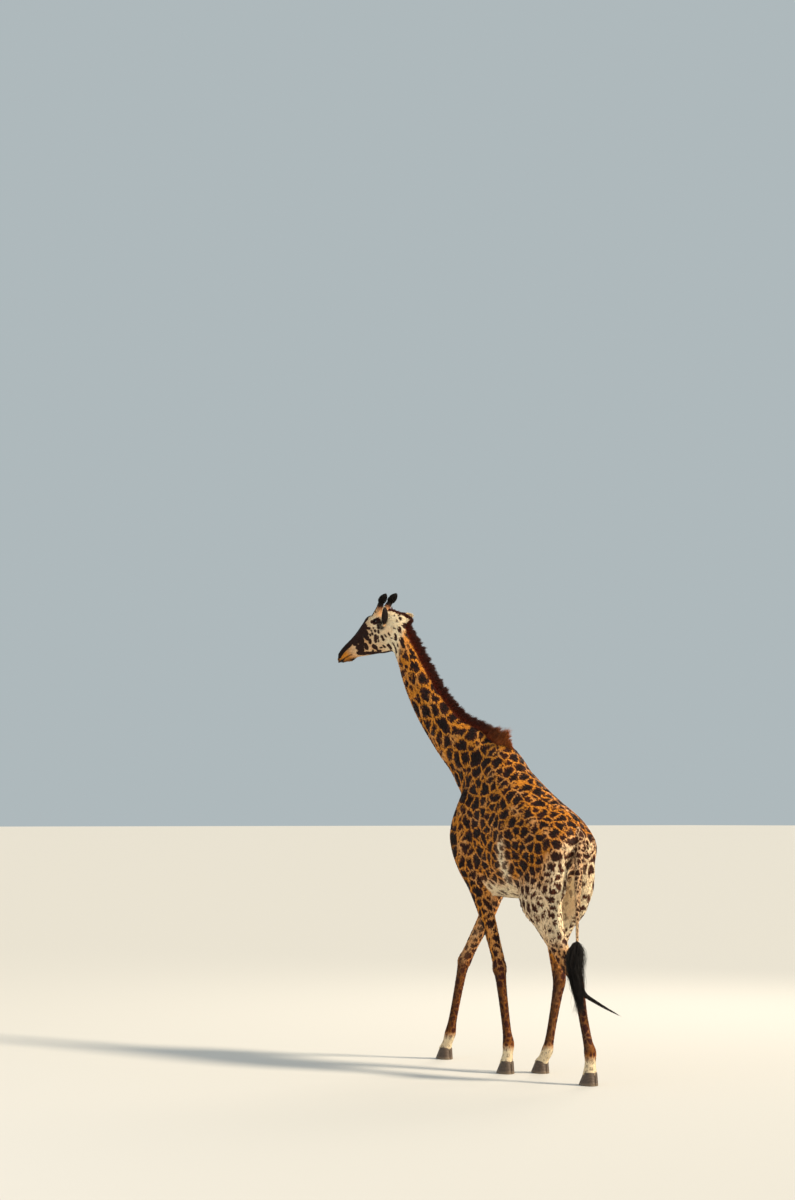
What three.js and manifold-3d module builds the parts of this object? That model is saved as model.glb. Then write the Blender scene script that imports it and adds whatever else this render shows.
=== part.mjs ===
// Masai giraffe cow in a slow pacing walk, head turned a little to her left.
// Millimetres, +Z up. She faces -Y, so her left is +X. The floor is z = 0 and
// the origin is under the middle of the whole animal.
import * as THREE from 'three';
import { mergeVertices } from 'three/addons/utils/BufferGeometryUtils.js';
import Module from 'manifold-3d';

const wasm = await Module();
wasm.setup();

// ---------------------------------------------------------------- sizes
const GAP = 0.3; // parting between neighbouring pieces
const STEPS = 5; // curve steps between two stations of a limb or trunk
const MARGIN = 60; // how far round its reach a body of flesh is still felt
const REACH = { strides: 14, least: 4, halvings: 14, smallest: 2 }; // search for the hide
const BALL = [12, 8]; // sides and rows of a round lump

// How each run of flesh is ringed: sides, every so many frames, and room to search in.
const TRUNK_RINGS = { sides: 24, every: 3, slack: 1.05, room: 20 };
const NECK_RINGS = { sides: 16, every: 3, slack: 1.15 };
const HEAD_RINGS = { sides: 22, every: 4, slack: 1.2 };
const LEG_RINGS = { sides: 12, every: 3, slack: 1.15 };
const MUZZLE_RINGS = { sides: 14, every: 3 };

// A station is a cross-section: [x, y, z, upper, lower, side]. On the trunk, neck and
// head, upper and lower are the reaches above and below the centre; on a leg or the
// tail, which run downwards, they are the reaches to the front and to the back.
const TRUNK = [
  [0, 672, 1880, 26, 40, 50],
  [0, 652, 1884, 88, 105, 135],
  [0, 600, 1889, 164, 190, 210],
  [0, 510, 1897, 240, 262, 258],
  [0, 380, 1913, 306, 353, 292],
  [0, 200, 1932, 388, 440, 318],
  [0, 0, 1954, 502, 508, 322],
  [0, -180, 1974, 622, 533, 300],
  [0, -330, 1990, 736, 538, 282],
  [0, -500, 2009, 692, 528, 262],
  [0, -640, 2024, 536, 474, 236],
  [0, -760, 2037, 363, 357, 192],
  [0, -838, 2046, 205, 212, 130],
  [0, -872, 2050, 60, 66, 46],
];

const NECK = [
  [0, -440, 2340, 380, 330, 190],
  [4, -600, 2510, 322, 300, 172],
  [16, -750, 2665, 262, 262, 150],
  [50, -967, 2832, 205, 205, 124],
  [98, -1201, 3097, 170, 170, 106],
  [138, -1353, 3346, 149, 142, 94],
  [170, -1448, 3560, 124, 113, 84],
  [203, -1520, 3720, 112, 106, 79],
  [230, -1558, 3845, 108, 120, 78],
];
const NECK_TURN = [0, 0, 6, 9, 12, 15, 18, 21, 23]; // degrees to the left, per station

// The head lies along an axis that starts inside the braincase and drops to the nose.
const HEAD_START = [245, -1562, 3850];
const HEAD_TURN = 23; // degrees to the left of the body
const HEAD_DROP = 24; // degrees below level
const HEAD_ROLL = 7; // degrees, right side up
const HEAD = [ // [along, rise of its middle above the axis, upper, lower, side]
  [-146, -10, 10, 46, 30],
  [-110, 0, 58, 98, 50],
  [-68, 0, 106, 135, 62],
  [-20, 0, 142, 150, 68],
  [60, 0, 168, 212, 82],
  [130, 0, 174, 200, 90],
  [200, 0, 190, 183, 90],
  [260, 0, 163, 158, 78],
  [330, 0, 130, 136, 64],
  [400, 0, 101, 113, 56],
  [470, 0, 79, 92, 55],
  [520, -1, 66, 97, 60],
  [562, -4, 52, 96, 61],
  [597, -15, 42, 80, 55],
  [624, -28, 29, 54, 48],
  [645, -37, 21, 33, 36],
  [657, -42, 7, 12, 16],
];

const HIND_LEFT = [
  [140, 440, 1870, 240, 196, 118],
  [158, 372, 1620, 262, 248, 128],
  [160, 360, 1450, 258, 222, 122],
  [158, 415, 1295, 150, 156, 98],
  [153, 500, 1140, 96, 108, 80],
  [146, 596, 990, 68, 72, 60],
  [135, 722, 838, 56, 66, 52],
  [130, 762, 720, 43, 48, 43],
  [126, 800, 530, 38, 41, 37],
  [122, 846, 345, 39, 43, 38],
  [120, 870, 262, 50, 54, 49],
  [120, 872, 172, 45, 47, 45],
  [120, 866, 92, 58, 60, 56],
];
const HIND_RIGHT = [
  [-140, 430, 1870, 240, 204, 118],
  [-158, 345, 1620, 258, 262, 128],
  [-160, 275, 1450, 230, 250, 120],
  [-155, 210, 1290, 155, 182, 98],
  [-150, 178, 1130, 106, 120, 80],
  [-142, 188, 960, 72, 74, 60],
  [-130, 222, 785, 55, 66, 52],
  [-125, 200, 650, 43, 48, 43],
  [-120, 150, 440, 37, 41, 37],
  [-117, 108, 275, 38, 42, 38],
  [-115, 84, 195, 48, 53, 48],
  [-113, 46, 130, 45, 47, 45],
  [-112, 12, 84, 57, 58, 56],
];
const FORE_LEFT = [
  [150, -520, 2280, 120, 150, 78],
  [182, -600, 2120, 132, 170, 88],
  [192, -645, 1940, 128, 185, 95],
  [188, -580, 1750, 118, 170, 94],
  [170, -482, 1570, 100, 112, 80],
  [157, -425, 1420, 84, 88, 67],
  [142, -366, 1250, 72, 70, 58],
  [128, -300, 1050, 60, 58, 52],
  [122, -262, 930, 58, 56, 53],
  [120, -245, 855, 66, 58, 60],
  [121, -230, 770, 48, 46, 46],
  [127, -186, 560, 40, 42, 38],
  [135, -140, 350, 38, 42, 37],
  [139, -117, 245, 50, 54, 48],
  [141, -124, 160, 45, 46, 44],
  [143, -136, 90, 58, 60, 56],
];
const FORE_RIGHT = [
  [-150, -520, 2280, 120, 150, 78],
  [-182, -610, 2120, 140, 170, 88],
  [-192, -680, 1940, 142, 185, 95],
  [-188, -668, 1750, 150, 170, 94],
  [-170, -628, 1560, 118, 112, 80],
  [-155, -676, 1410, 88, 88, 67],
  [-145, -755, 1250, 74, 72, 58],
  [-130, -886, 1060, 60, 58, 52],
  [-124, -968, 940, 58, 56, 53],
  [-120, -1015, 868, 66, 58, 60],
  [-118, -1048, 785, 48, 46, 46],
  [-115, -1112, 570, 40, 42, 38],
  [-112, -1176, 350, 38, 42, 37],
  [-110, -1210, 232, 50, 54, 48],
  [-110, -1246, 150, 45, 46, 44],
  [-110, -1278, 88, 58, 60, 56],
];

const TAIL = [
  [0, 560, 2015, 58, 58, 55],
  [10, 636, 1968, 50, 50, 50],
  [37, 682, 1881, 42, 42, 42],
  [67, 701, 1742, 36, 36, 37],
  [90, 711, 1574, 30, 31, 31],
  [109, 725, 1406, 21, 21, 21],
  [122, 734, 1258, 15, 15, 15],
  [133, 745, 1110, 13, 13, 13],
];

// Hoof: sole length and width, and the shift of its middle from the coronet.
const HOOF_LENGTH = 178;
const HOOF_WIDTH = 128;
const HOOF_HEIGHT = 88;
const HOOF_FORWARD = 22;
const HOOF_TOE_TAPER = 0.22;
const HOOF_SIDES = 14;
const HOOF_RISES = [0, 0.25, 0.6, 1, 1.25]; // shares of its height, with the top sunk in the leg
const CLEFT = 5;

const EYE_RADIUS = 25;
const EYE = [108, 67, 100]; // along the head, to its left, above its axis
const LID_THICKNESS = 6;
const BROW = { at: [108, 40, 95], reach: [64, 54, 48] };
const CHEEK = { at: [108, 44, -62], reach: [96, 41, 96] };
const EYE_OPEN = { long: 24, high: 15, low: 12, out: 60 }; // half length, arches, cut's reach
const NOSTRIL = { at: [600, 48, 2], reach: [19, 16, 6], slant: 0.7 };
const MOUTH = { from: 462, to: 690, up: -50, drop: 6, height: 4, depth: 9, width: 200 };

// Horn: its foot on the skull and its tip, along, left and up.
const HORN_FOOT = [122, 38, 118];
const HORN_TIP = [-81, 108, 269];
const HORN_RADII = [54, 50, 43, 36, 31, 28, 24, 17];
const HORN_CUT = 0.6; // share of the horn left on the skull
const HORN_INSIDE = 0.8; // share of the line that lies well inside the tuft
const HORN_CORE = 0.88; // share of the line that the bare horn takes
const HORN_SIDES = 12;
// The tuft on a horn: share of the horn's length, radius, and lean to the back.
const HORN_TUFT_CORE = 0.62; // share of the tuft's radius that its solid middle has
const HORN_TUFT = [[0.61, 34, 0], [0.68, 39, -1], [0.75, 42, -4], [0.84, 40, -10], [0.92, 29, -18], [1, 6, -30]];
const HORN_TUFT_SOLID = 4; // of its rows, those that the solid middle takes

// Ear: its root, then the way it points and the way its cup opens, in body axes.
const EAR_LENGTH = 178;
const EAR_WIDTH = 84;
const EAR_DEPTH = 30;
const EAR_WALL = 6;
const EAR_ARC = 6; // steps round its back
const EAR_LEFT = { root: [58, 74, 26], points: [0.26, 0.36, 0.9], opens: [0.35, -0.93, 0.1] };
const EAR_RIGHT = { root: [10, -66, 62], points: [-0.72, 0.67, 0.18], opens: [0.5, 0.8, 0.15] };
// Along the ear: share of its length, of its width, and how hollow it is.
const EAR_STATIONS = [
  [0, 0.5, -0.55], [0.12, 0.56, -0.3], [0.26, 0.8, 0.6], [0.42, 1, 1],
  [0.6, 0.98, 1], [0.78, 0.84, 0.9], [0.92, 0.54, 0.6], [1, 0.12, 0.2],
];

const MANE_HEIGHT = 78;
const MANE_CORE = 0.5; // share of the mane's height that is solid
const MANE_LEAST = 12; // the lowest that its solid part gets
const MANE_SECTION = [[1, -1], [1, 0.4], [0.3, 1], [-0.3, 1], [-1, 0.4], [-1, -1]]; // half widths, heights
const POLL_MANE = 60;
const POLL_END = 0.28; // share of that height left over the poll
const MANE_WIDTH = 26;
const WITHERS_MANE = 150;
const MANE_SUNK = 30; // how deep the mane is rooted
const MANE_FROM = 0.065; // where it starts on the line from withers to poll
// Between which shares of that line the mane rises, lowers along the neck, and ends at the poll.
const MANE_RISES = [0.04, 0.16];
const MANE_LOWERS = [0.6, 0.86];
const MANE_ENDS = [0.87, 0.94];
const NAPE = [-118, -92, -66, -40, -14]; // places along the head where the mane runs on over the poll
const NAPE_DROPPED = 2; // frames of the neck that the nape takes over
const MANE_STEPS = 24;
const CREST_REACH = 700;
const WITHERS_AT = 0.17;
const WITHERS_SPREAD = 0.075;
const MANE_LOCKS = 43;
const MANE_ROW = 7; // how far the side rows stand from the middle row
const LOCK_STEPS = [0, 0.5, 1]; // root, middle and tip
const LOCK_TAPER = [0.9, 0.9, 0.1]; // share of a lock's width at each
const LOCK_ROOT = 22; // how deep a lock is sunk
// Locks by place: widths from and to, thickness, where they start and how they lean or run.
const MANE_LOCK = { width: [56, 80], thick: 13, least: 30, height: [0.9, 1.12], lean: [0.25, 0.6] };
const HORN_LOCK = { width: [24, 32], thick: 11, from: [0, 0.35], stray: 0.2, root: 0.35 };
const TAIL_LOCK = { width: [44, 62], thick: 16, from: [0.06, 0.55], run: [0.38, 0.44], stray: 0.2 };
const TAIL_LOCK_OUT = [0.3, 0.92]; // share of the tuft's radius at a lock's root and further on
const TAIL_LOCK_TURN = 2.4; // radians from one lock to the next
const TAIL_LOCKS = 14;
const HORN_LOCKS = 7;
const DOCK_SIDES = 10;
const DOCK_EVERY = 3;
const TUFT_CUT = new THREE.Vector3(0, 636, 1128);
const TUFT_CORE = { share: 0.5, least: 6, sides: 7, steps: 2 };
const FLYING_SIDES = 6;
const TUFT = [ // x, y, z, radius
  [133, 745, 1137, 16],
  [148, 752, 1105, 50],
  [178, 772, 1052, 80],
  [207, 793, 989, 90],
  [226, 814, 906, 78],
  [218, 824, 816, 64],
  [204, 830, 726, 48],
  [188, 826, 665, 26],
  [184, 826, 645, 8],
];
const FLYING_LOCK = [
  [198, 812, 795, 20],
  [146, 850, 704, 14],
  [56, 968, 618, 9],
  [-44, 1074, 542, 3],
];

// Where the parts meet: a point of each cut, the way it faces and its size.
const ACROSS = new THREE.Vector3(1, 0, 0);
const UPWARD = new THREE.Vector3(0, 0, 1);
const HALF_SPACE = 3000; // size of a block that stands for everything beyond a plane
const SEED = { size: 2, least: 1 }; // a small block that finds the piece round a point
const JOINT_CUTS = [
  { at: new THREE.Vector3(248, -1576, 3795), normal: new THREE.Vector3(0.385, -0.908, 0.16), size: [560, 560] },
  { at: new THREE.Vector3(112, -1252, 3175), normal: new THREE.Vector3(0.12, -0.5, 0.86), size: [560, 560] },
  { at: new THREE.Vector3(0, -537, 2450), normal: new THREE.Vector3(0, -0.642, 0.767), size: [900, 1080] },
];
const THIGH_CUT = { front: [70, 1462], back: [655, 1850], spare: 200, depth: 460, width: 900 };
const FOREARM_CUT = { height: 1400, at: [[155, -420], [-155, -680]], size: [230, 330] };
const HOOF_CUT = { size: [230, 300], cleft: 330, above: 20 };
const HORN_CUT_SIZE = [96, 96];

// Stations that lie well inside one piece each; a leg's is counted from its foot.
const WELL_INSIDE = { torso: TRUNK[6], neckLower: NECK[3], neckUpper: NECK[6], head: HEAD[8] };
const LEG_INSIDE = 4;

// ---------------------------------------------------------------- trunk, limbs and head
const vector = ([x, y, z]) => new THREE.Vector3(x, y, z);
const radians = THREE.MathUtils.degToRad;

/** Catmull-Rom value between b and c. */
function spline(a, b, c, d, t) {
  const s = t * t;
  return 0.5 * (2 * b + (c - a) * t + (2 * a - 5 * b + 4 * c - d) * s + (3 * b - a - 3 * c + d) * s * t);
}

/** Rows of numbers, made finer by a spline through them. */
function refine(rows, steps) {
  const fine = [];
  const row = (i) => rows[Math.min(Math.max(i, 0), rows.length - 1)];
  for (let i = 0; i < rows.length - 1; i += 1) {
    for (let j = 0; j < steps; j += 1) {
      const at = (k) => spline(row(i - 1)[k], row(i)[k], row(i + 1)[k], row(i + 2)[k], j / steps);
      fine.push(rows[i].map((_, k) => at(k)));
    }
  }
  fine.push(rows[rows.length - 1]);
  return fine;
}

/** A body of flesh along a centre line: stations with a frame and three reaches. */
function flesh(stations, laterals, { crest = 2, keel = 2, blend = 60, steps = STEPS } = {}) {
  const fine = refine(stations.map((s, i) => [...s, ...laterals[i]]), steps);
  const frames = fine.map((s, i) => {
    const before = fine[Math.max(i - 1, 0)];
    const after = fine[Math.min(i + 1, fine.length - 1)];
    const along = vector(after).sub(vector(before)).normalize();
    const side = vector(s.slice(6));
    side.addScaledVector(along, -side.dot(along)).normalize();
    const up = new THREE.Vector3().crossVectors(along, side);
    return { at: vector(s), along, side, up, upper: s[3], lower: s[4], wide: s[5] };
  });
  const box = new THREE.Box3();
  for (const f of frames) {
    const reach = Math.max(f.upper, f.lower, f.wide);
    box.expandByPoint(f.at.clone().addScalar(reach));
    box.expandByPoint(f.at.clone().addScalar(-reach));
  }
  return { frames, crest, keel, blend, box: box.expandByScalar(blend + MARGIN) };
}

const offset = new THREE.Vector3();
const segment = new THREE.Vector3();

/** Signed distance from a point to one body of flesh, near its surface. */
function depth(body, point) {
  let best = Infinity;
  let index = 0;
  let part = 0;
  for (let i = 0; i < body.frames.length - 1; i += 1) {
    const a = body.frames[i].at;
    segment.subVectors(body.frames[i + 1].at, a);
    offset.subVectors(point, a);
    const t = THREE.MathUtils.clamp(offset.dot(segment) / segment.lengthSq(), 0, 1);
    const d = offset.addScaledVector(segment, -t).lengthSq();
    if (d < best) {
      best = d;
      index = i;
      part = t;
    }
  }
  const f = body.frames[index];
  const g = body.frames[index + 1];
  const mix = (key) => f[key] + (g[key] - f[key]) * part;
  const centre = f.at.clone().lerp(g.at, part);
  const side = f.side.clone().lerp(g.side, part);
  const up = f.up.clone().lerp(g.up, part);
  offset.subVectors(point, centre);
  const l = offset.dot(side) / mix('wide');
  const rise = offset.dot(up);
  const e = offset.dot(f.along) / mix('wide');
  const power = rise > 0 ? body.crest : body.keel;
  const h = rise / mix(rise > 0 ? 'upper' : 'lower');
  const ring = Math.pow(Math.pow(Math.abs(l), power) + Math.pow(Math.abs(h), power), 1 / power);
  const ratio = Math.hypot(ring, e);
  const length = offset.length();
  return ratio < 1e-6 ? -mix('wide') : length * (1 - 1 / ratio);
}

/** Smooth union of two distances. */
function join(a, b, k) {
  const h = Math.max(k - Math.abs(a - b), 0) / k;
  return Math.min(a, b) - h * h * k * 0.25;
}

const leftward = (turn) => [Math.cos(radians(turn)), Math.sin(radians(turn)), 0];
const level = (stations) => stations.map(() => [1, 0, 0]);

/** Frame of the head: forward along its axis, to its left, and up. */
function headFrame() {
  const turn = radians(HEAD_TURN);
  const drop = radians(HEAD_DROP);
  const forward = new THREE.Vector3(
    Math.sin(turn) * Math.cos(drop), -Math.cos(turn) * Math.cos(drop), -Math.sin(drop));
  const left = vector(leftward(HEAD_TURN)).applyAxisAngle(forward, -radians(HEAD_ROLL));
  const up = new THREE.Vector3().crossVectors(forward, left);
  return { forward, left, up };
}

const headAxes = headFrame();

/** A point given along, to the left of and above the head's axis. */
function onHead(along, left, up) {
  return vector(HEAD_START)
    .addScaledVector(headAxes.forward, along)
    .addScaledVector(headAxes.left, left)
    .addScaledVector(headAxes.up, up);
}

const bodies = {
  trunk: flesh(TRUNK, level(TRUNK), { crest: 1.75, keel: 2.15, blend: 40 }),
  neck: flesh(NECK, NECK_TURN.map(leftward), { crest: 1.9, keel: 2.1, blend: 120 }),
  head: flesh(
    HEAD.map(([along, rise, ...reach]) => [...onHead(along, 0, rise).toArray(), ...reach]),
    HEAD.map(() => headAxes.left.toArray()), { crest: 2.3, keel: 2.1, blend: 40 }),
  hindLeft: flesh(HIND_LEFT, level(HIND_LEFT), { blend: 70 }),
  hindRight: flesh(HIND_RIGHT, level(HIND_RIGHT), { blend: 70 }),
  foreLeft: flesh(FORE_LEFT, level(FORE_LEFT), { blend: 80 }),
  foreRight: flesh(FORE_RIGHT, level(FORE_RIGHT), { blend: 80 }),
};

/** Signed distance to the whole animal's flesh. */
function hide(point) {
  let d = Infinity;
  for (const body of Object.values(bodies)) {
    if (body.box.containsPoint(point)) {
      const own = depth(body, point);
      d = d === Infinity ? own : join(d, own, body.blend);
    }
  }
  return d;
}

/** How far the hide is from a centre along a direction, within a reach. */
function reachOf(surface, centre, direction, reach) {
  const stride = Math.max(reach / REACH.strides, REACH.least);
  let inner = 0;
  let outer = 0;
  const probe = new THREE.Vector3();
  while (outer < reach) {
    outer = Math.min(outer + stride, reach);
    if (surface(probe.copy(centre).addScaledVector(direction, outer)) > 0) break;
    inner = outer;
  }
  if (inner >= reach) return reach;
  for (let i = 0; i < REACH.halvings; i += 1) {
    const middle = (inner + outer) / 2;
    if (surface(probe.copy(centre).addScaledVector(direction, middle)) > 0) outer = middle;
    else inner = middle;
  }
  return Math.max(inner, REACH.smallest);
}

/** Closed geometry from rings of equal length, with a flat or pointed end each. */
function loft(rings) {
  const count = rings[0].length;
  const points = rings.flat();
  const middles = [rings[0], rings[rings.length - 1]].map((ring) => {
    const sum = ring.reduce((total, p) => total.add(p), new THREE.Vector3());
    return sum.multiplyScalar(1 / count);
  });
  const first = points.length;
  points.push(...middles);
  const faces = [];
  for (let i = 0; i < rings.length - 1; i += 1) {
    for (let j = 0; j < count; j += 1) {
      const a = i * count + j;
      const b = i * count + ((j + 1) % count);
      faces.push(a, b, b + count, a, b + count, a + count);
    }
  }
  for (let j = 0; j < count; j += 1) {
    const last = (rings.length - 1) * count;
    faces.push(first, (j + 1) % count, j);
    faces.push(first + 1, last + j, last + ((j + 1) % count));
  }
  const geometry = new THREE.BufferGeometry();
  geometry.setAttribute('position', new THREE.Float32BufferAttribute(points.flatMap((p) => p.toArray()), 3));
  geometry.setIndex(faces);
  return geometry;
}

/** Loft of one body whose rings reach out to the joined hide. */
function hideLoft(body, { sides, every, slack = 1.35, room = 30 }, surface = hide) {
  const chosen = body.frames.filter((_, i) => i % every === 0 || i === body.frames.length - 1);
  const rings = chosen.map((f) => Array.from({ length: sides }, (_, j) => {
    const angle = (j / sides) * Math.PI * 2;
    const direction = f.side.clone().multiplyScalar(Math.cos(angle)).addScaledVector(f.up, Math.sin(angle));
    const own = Math.sin(angle) > 0 ? f.upper : f.lower;
    const radius = 1 / Math.hypot(Math.cos(angle) / f.wide, Math.sin(angle) / own);
    const reach = reachOf(surface, f.at, direction, radius * slack + room);
    return f.at.clone().addScaledVector(direction, reach);
  }));
  return loft(rings);
}

// ---------------------------------------------------------------- solids
/** A three.js geometry as a solid that can be joined and cut. */
function solid(geometry) {
  const bare = geometry.clone();
  bare.deleteAttribute('normal');
  bare.deleteAttribute('uv');
  const merged = mergeVertices(bare, 1e-3);
  return new wasm.Manifold(new wasm.Mesh({
    numProp: 3,
    vertProperties: new Float32Array(merged.attributes.position.array),
    triVerts: new Uint32Array(merged.index.array),
  }));
}

/** The largest closed piece of a solid. */
function largest(piece) {
  return piece.decompose().reduce((best, next) => (next.volume() > best.volume() ? next : best));
}

/** A solid back as a three.js geometry. */
function geometryOf(piece) {
  const mesh = piece.getMesh();
  const geometry = new THREE.BufferGeometry();
  geometry.setAttribute('position', new THREE.BufferAttribute(mesh.vertProperties, 3));
  geometry.setIndex(new THREE.BufferAttribute(mesh.triVerts, 1));
  return geometry;
}

/** A box given by its centre, size and the direction that its z points in. */
function block(centre, size, normal, roll = ACROSS) {
  const z = normal.clone().normalize();
  const x = roll.clone().addScaledVector(z, -roll.dot(z)).normalize();
  const y = new THREE.Vector3().crossVectors(z, x);
  const frame = new THREE.Matrix4().makeBasis(x, y, z).setPosition(centre);
  return solid(new THREE.BoxGeometry(...size).applyMatrix4(frame));
}

/** Everything on the far side of a plane. */
function beyond(centre, normal) {
  const middle = centre.clone().addScaledVector(normal, HALF_SPACE / 2 - GAP / 2);
  return block(middle, [HALF_SPACE, HALF_SPACE, HALF_SPACE], normal);
}

const parts = new THREE.Group();

const FINISH = {
  coat: { color: 0xb9742c, roughness: 0.85 },
  mane: { color: 0x7a2e0c, roughness: 0.9 },
  hair: { color: 0x17100c, roughness: 0.8 },
  horn: { color: 0x5b4a3c, roughness: 0.6 },
  eye: { color: 0x120b07, roughness: 0.12 },
  ear: { color: 0x6b4a2a, roughness: 0.85 },
};

/** Adds one named piece with a material of its own. */
function addPiece(name, piece, finish) {
  const material = new THREE.MeshStandardMaterial({ ...FINISH[finish], metalness: 0 });
  const mesh = new THREE.Mesh(geometryOf(largest(piece)), material);
  mesh.name = name;
  parts.add(mesh);
}

// ---------------------------------------------------------------- joined flesh
/** One hoof: rings from the sole up into the coronet, narrower at the toe. */
function foot(stations) {
  const [x, y, , front, back, side] = stations[stations.length - 1];
  const rings = HOOF_RISES.map((rise) => {
    const closing = Math.min(rise, 1);
    const length = THREE.MathUtils.lerp(HOOF_LENGTH, front + back, closing) / 2;
    const width = THREE.MathUtils.lerp(HOOF_WIDTH / 2, side, closing);
    const middle = y - HOOF_FORWARD * (1 - closing);
    return Array.from({ length: HOOF_SIDES }, (_, j) => {
      const angle = (j / HOOF_SIDES) * Math.PI * 2;
      const taper = 1 - HOOF_TOE_TAPER * Math.max(-Math.sin(angle), 0);
      return new THREE.Vector3(
        x + width * taper * Math.cos(angle), middle + length * Math.sin(angle), rise * HOOF_HEIGHT);
    });
  });
  return solid(loft(rings));
}

/** A smooth lump on the head, such as a brow. */
function lump({ at: [along, left, up], reach }, side) {
  const frame = new THREE.Matrix4().makeBasis(headAxes.forward, headAxes.left, headAxes.up);
  frame.setPosition(onHead(along, left * side, up));
  return solid(new THREE.SphereGeometry(1, ...BALL).scale(...reach).applyMatrix4(frame));
}

/** Repeatable numbers between a low and a high one. */
function dice(seed) {
  let state = seed;
  return (low, high) => {
    state = (state * 1664525 + 1013904223) % 4294967296;
    return low + ((high - low) * state) / 4294967296;
  };
}

/** A flat lock of hair through three points, thin along each face direction. */
function lock(points, faces, width, thick) {
  return solid(loft(points.map((p, k) => {
    const ahead = points[Math.min(k + 1, points.length - 1)];
    const tangent = ahead.clone().sub(points[Math.max(k - 1, 0)]).normalize();
    const thin = faces[k].clone().addScaledVector(tangent, -faces[k].dot(tangent)).normalize();
    const wide = new THREE.Vector3().crossVectors(thin, tangent);
    const [w, t] = [(width / 2) * LOCK_TAPER[k], (thick / 2) * LOCK_TAPER[k]];
    return [[w, 0], [0, t], [-w, 0], [0, -t]].map(([a, b]) => p.clone()
      .addScaledVector(wide, a).addScaledVector(thin, b));
  })));
}

/** Rows of numbers read at any place from the first row (0) to the last (1). */
function between(rows, place) {
  const at = THREE.MathUtils.clamp(place, 0, 1) * (rows.length - 1);
  const i = Math.min(Math.floor(at), rows.length - 2);
  return rows[i].map((value, k) => THREE.MathUtils.lerp(value, rows[i + 1][k], at - i));
}

/** Horn: a tapering core along the line from foot to tip, and the tuft round its top. */
function horn(side) {
  const [root, tip] = [HORN_FOOT, HORN_TIP].map(([along, left, up]) => onHead(along, left * side, up));
  const axis = tip.clone().sub(root);
  const across = new THREE.Vector3().crossVectors(axis, headAxes.left).normalize();
  const third = new THREE.Vector3().crossVectors(axis, across).normalize();
  const radial = (angle) => across.clone().multiplyScalar(Math.cos(angle))
    .addScaledVector(third, Math.sin(angle));
  const spot = (share, radius, lean, angle) => root.clone().addScaledVector(axis, share)
    .addScaledVector(headAxes.forward, lean).addScaledVector(radial(angle), radius);
  const ring = (share, radius, lean) => Array.from({ length: HORN_SIDES }, (_, j) => (
    spot(share, radius, lean, (j / HORN_SIDES) * Math.PI * 2)));
  const core = loft(HORN_RADII.map((radius, i) => ring((i / (HORN_RADII.length - 1)) * HORN_CORE, radius, 0)));
  const rows = HORN_TUFT.slice(0, HORN_TUFT_SOLID);
  const middle = loft(rows.map(([share, radius, lean]) => ring(share, radius * HORN_TUFT_CORE, lean)));
  let hair = solid(core).add(solid(middle));
  const roll = dice(side + 5);
  for (let i = 0; i < HORN_LOCKS; i += 1) {
    const angle = (i / HORN_LOCKS) * Math.PI * 2 + roll(-HORN_LOCK.stray, HORN_LOCK.stray);
    const from = roll(...HORN_LOCK.from);
    const points = LOCK_STEPS.map((t) => {
      const [share, radius, lean] = between(HORN_TUFT, from + (1 - from) * t);
      const out = THREE.MathUtils.lerp(HORN_LOCK.root, 1, THREE.MathUtils.smoothstep(t, 0, LOCK_STEPS[1]));
      return spot(share, radius * out, lean, angle);
    });
    const ways = points.map(() => radial(angle));
    hair = hair.add(lock(points, ways, roll(...HORN_LOCK.width), HORN_LOCK.thick));
  }
  return { core: hair, root, axis };
}

/** Ear: a leaf with a cupped front, thicker and rounder at its root. */
function ear({ root: [along, left, up], points, opens }) {
  const base = onHead(along, left, up);
  const way = vector(points).normalize();
  const cup = vector(opens);
  cup.addScaledVector(way, -cup.dot(way)).normalize();
  const across = new THREE.Vector3().crossVectors(way, cup);
  const rings = EAR_STATIONS.map(([share, width, hollow]) => {
    const half = (EAR_WIDTH / 2) * width;
    const centre = base.clone().addScaledVector(way, EAR_LENGTH * share);
    const arc = (radius, sink) => Array.from({ length: EAR_ARC + 1 }, (_, j) => {
      const angle = (j / EAR_ARC) * Math.PI;
      return centre.clone().addScaledVector(across, radius * Math.cos(angle))
        .addScaledVector(cup, -sink * Math.sin(angle));
    });
    const back = arc(half, EAR_DEPTH * width);
    const front = arc(Math.max(half - EAR_WALL, 1), EAR_DEPTH * width * hollow - EAR_WALL).reverse();
    return [...back, ...front];
  });
  return { leaf: solid(loft(rings)), way };
}

/** A point on the crest of the neck, from the withers (0) to the poll (1). */
function crest(share) {
  const { forward, left, up: above } = headAxes;
  const nape = NAPE.map((along) => ({ at: onHead(along, 0, 0), up: above, side: left, along: forward }));
  const frames = [...bodies.neck.frames.slice(0, -NAPE_DROPPED), ...nape];
  const at = share * (frames.length - 1);
  const i = Math.min(Math.floor(at), frames.length - 2);
  const [f, g] = [frames[i], frames[i + 1]];
  const centre = f.at.clone().lerp(g.at, at - i);
  const up = f.up.clone().lerp(g.up, at - i).normalize();
  const side = f.side.clone().lerp(g.side, at - i).normalize();
  return { at: centre.addScaledVector(up, reachOf(hide, centre, up, CREST_REACH)), up, side, along: f.along };
}

/** How high the mane stands at a share of its way from withers to poll. */
function maneHeight(share) {
  const hump = Math.exp(-(((share - WITHERS_AT) / WITHERS_SPREAD) ** 2));
  const rise = THREE.MathUtils.smoothstep(share, ...MANE_RISES);
  const neck = THREE.MathUtils.lerp(MANE_HEIGHT, POLL_MANE, THREE.MathUtils.smoothstep(share, ...MANE_LOWERS));
  const end = THREE.MathUtils.lerp(1, POLL_END, THREE.MathUtils.smoothstep(share, ...MANE_ENDS));
  return rise * end * THREE.MathUtils.lerp(neck, WITHERS_MANE, hump);
}

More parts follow.
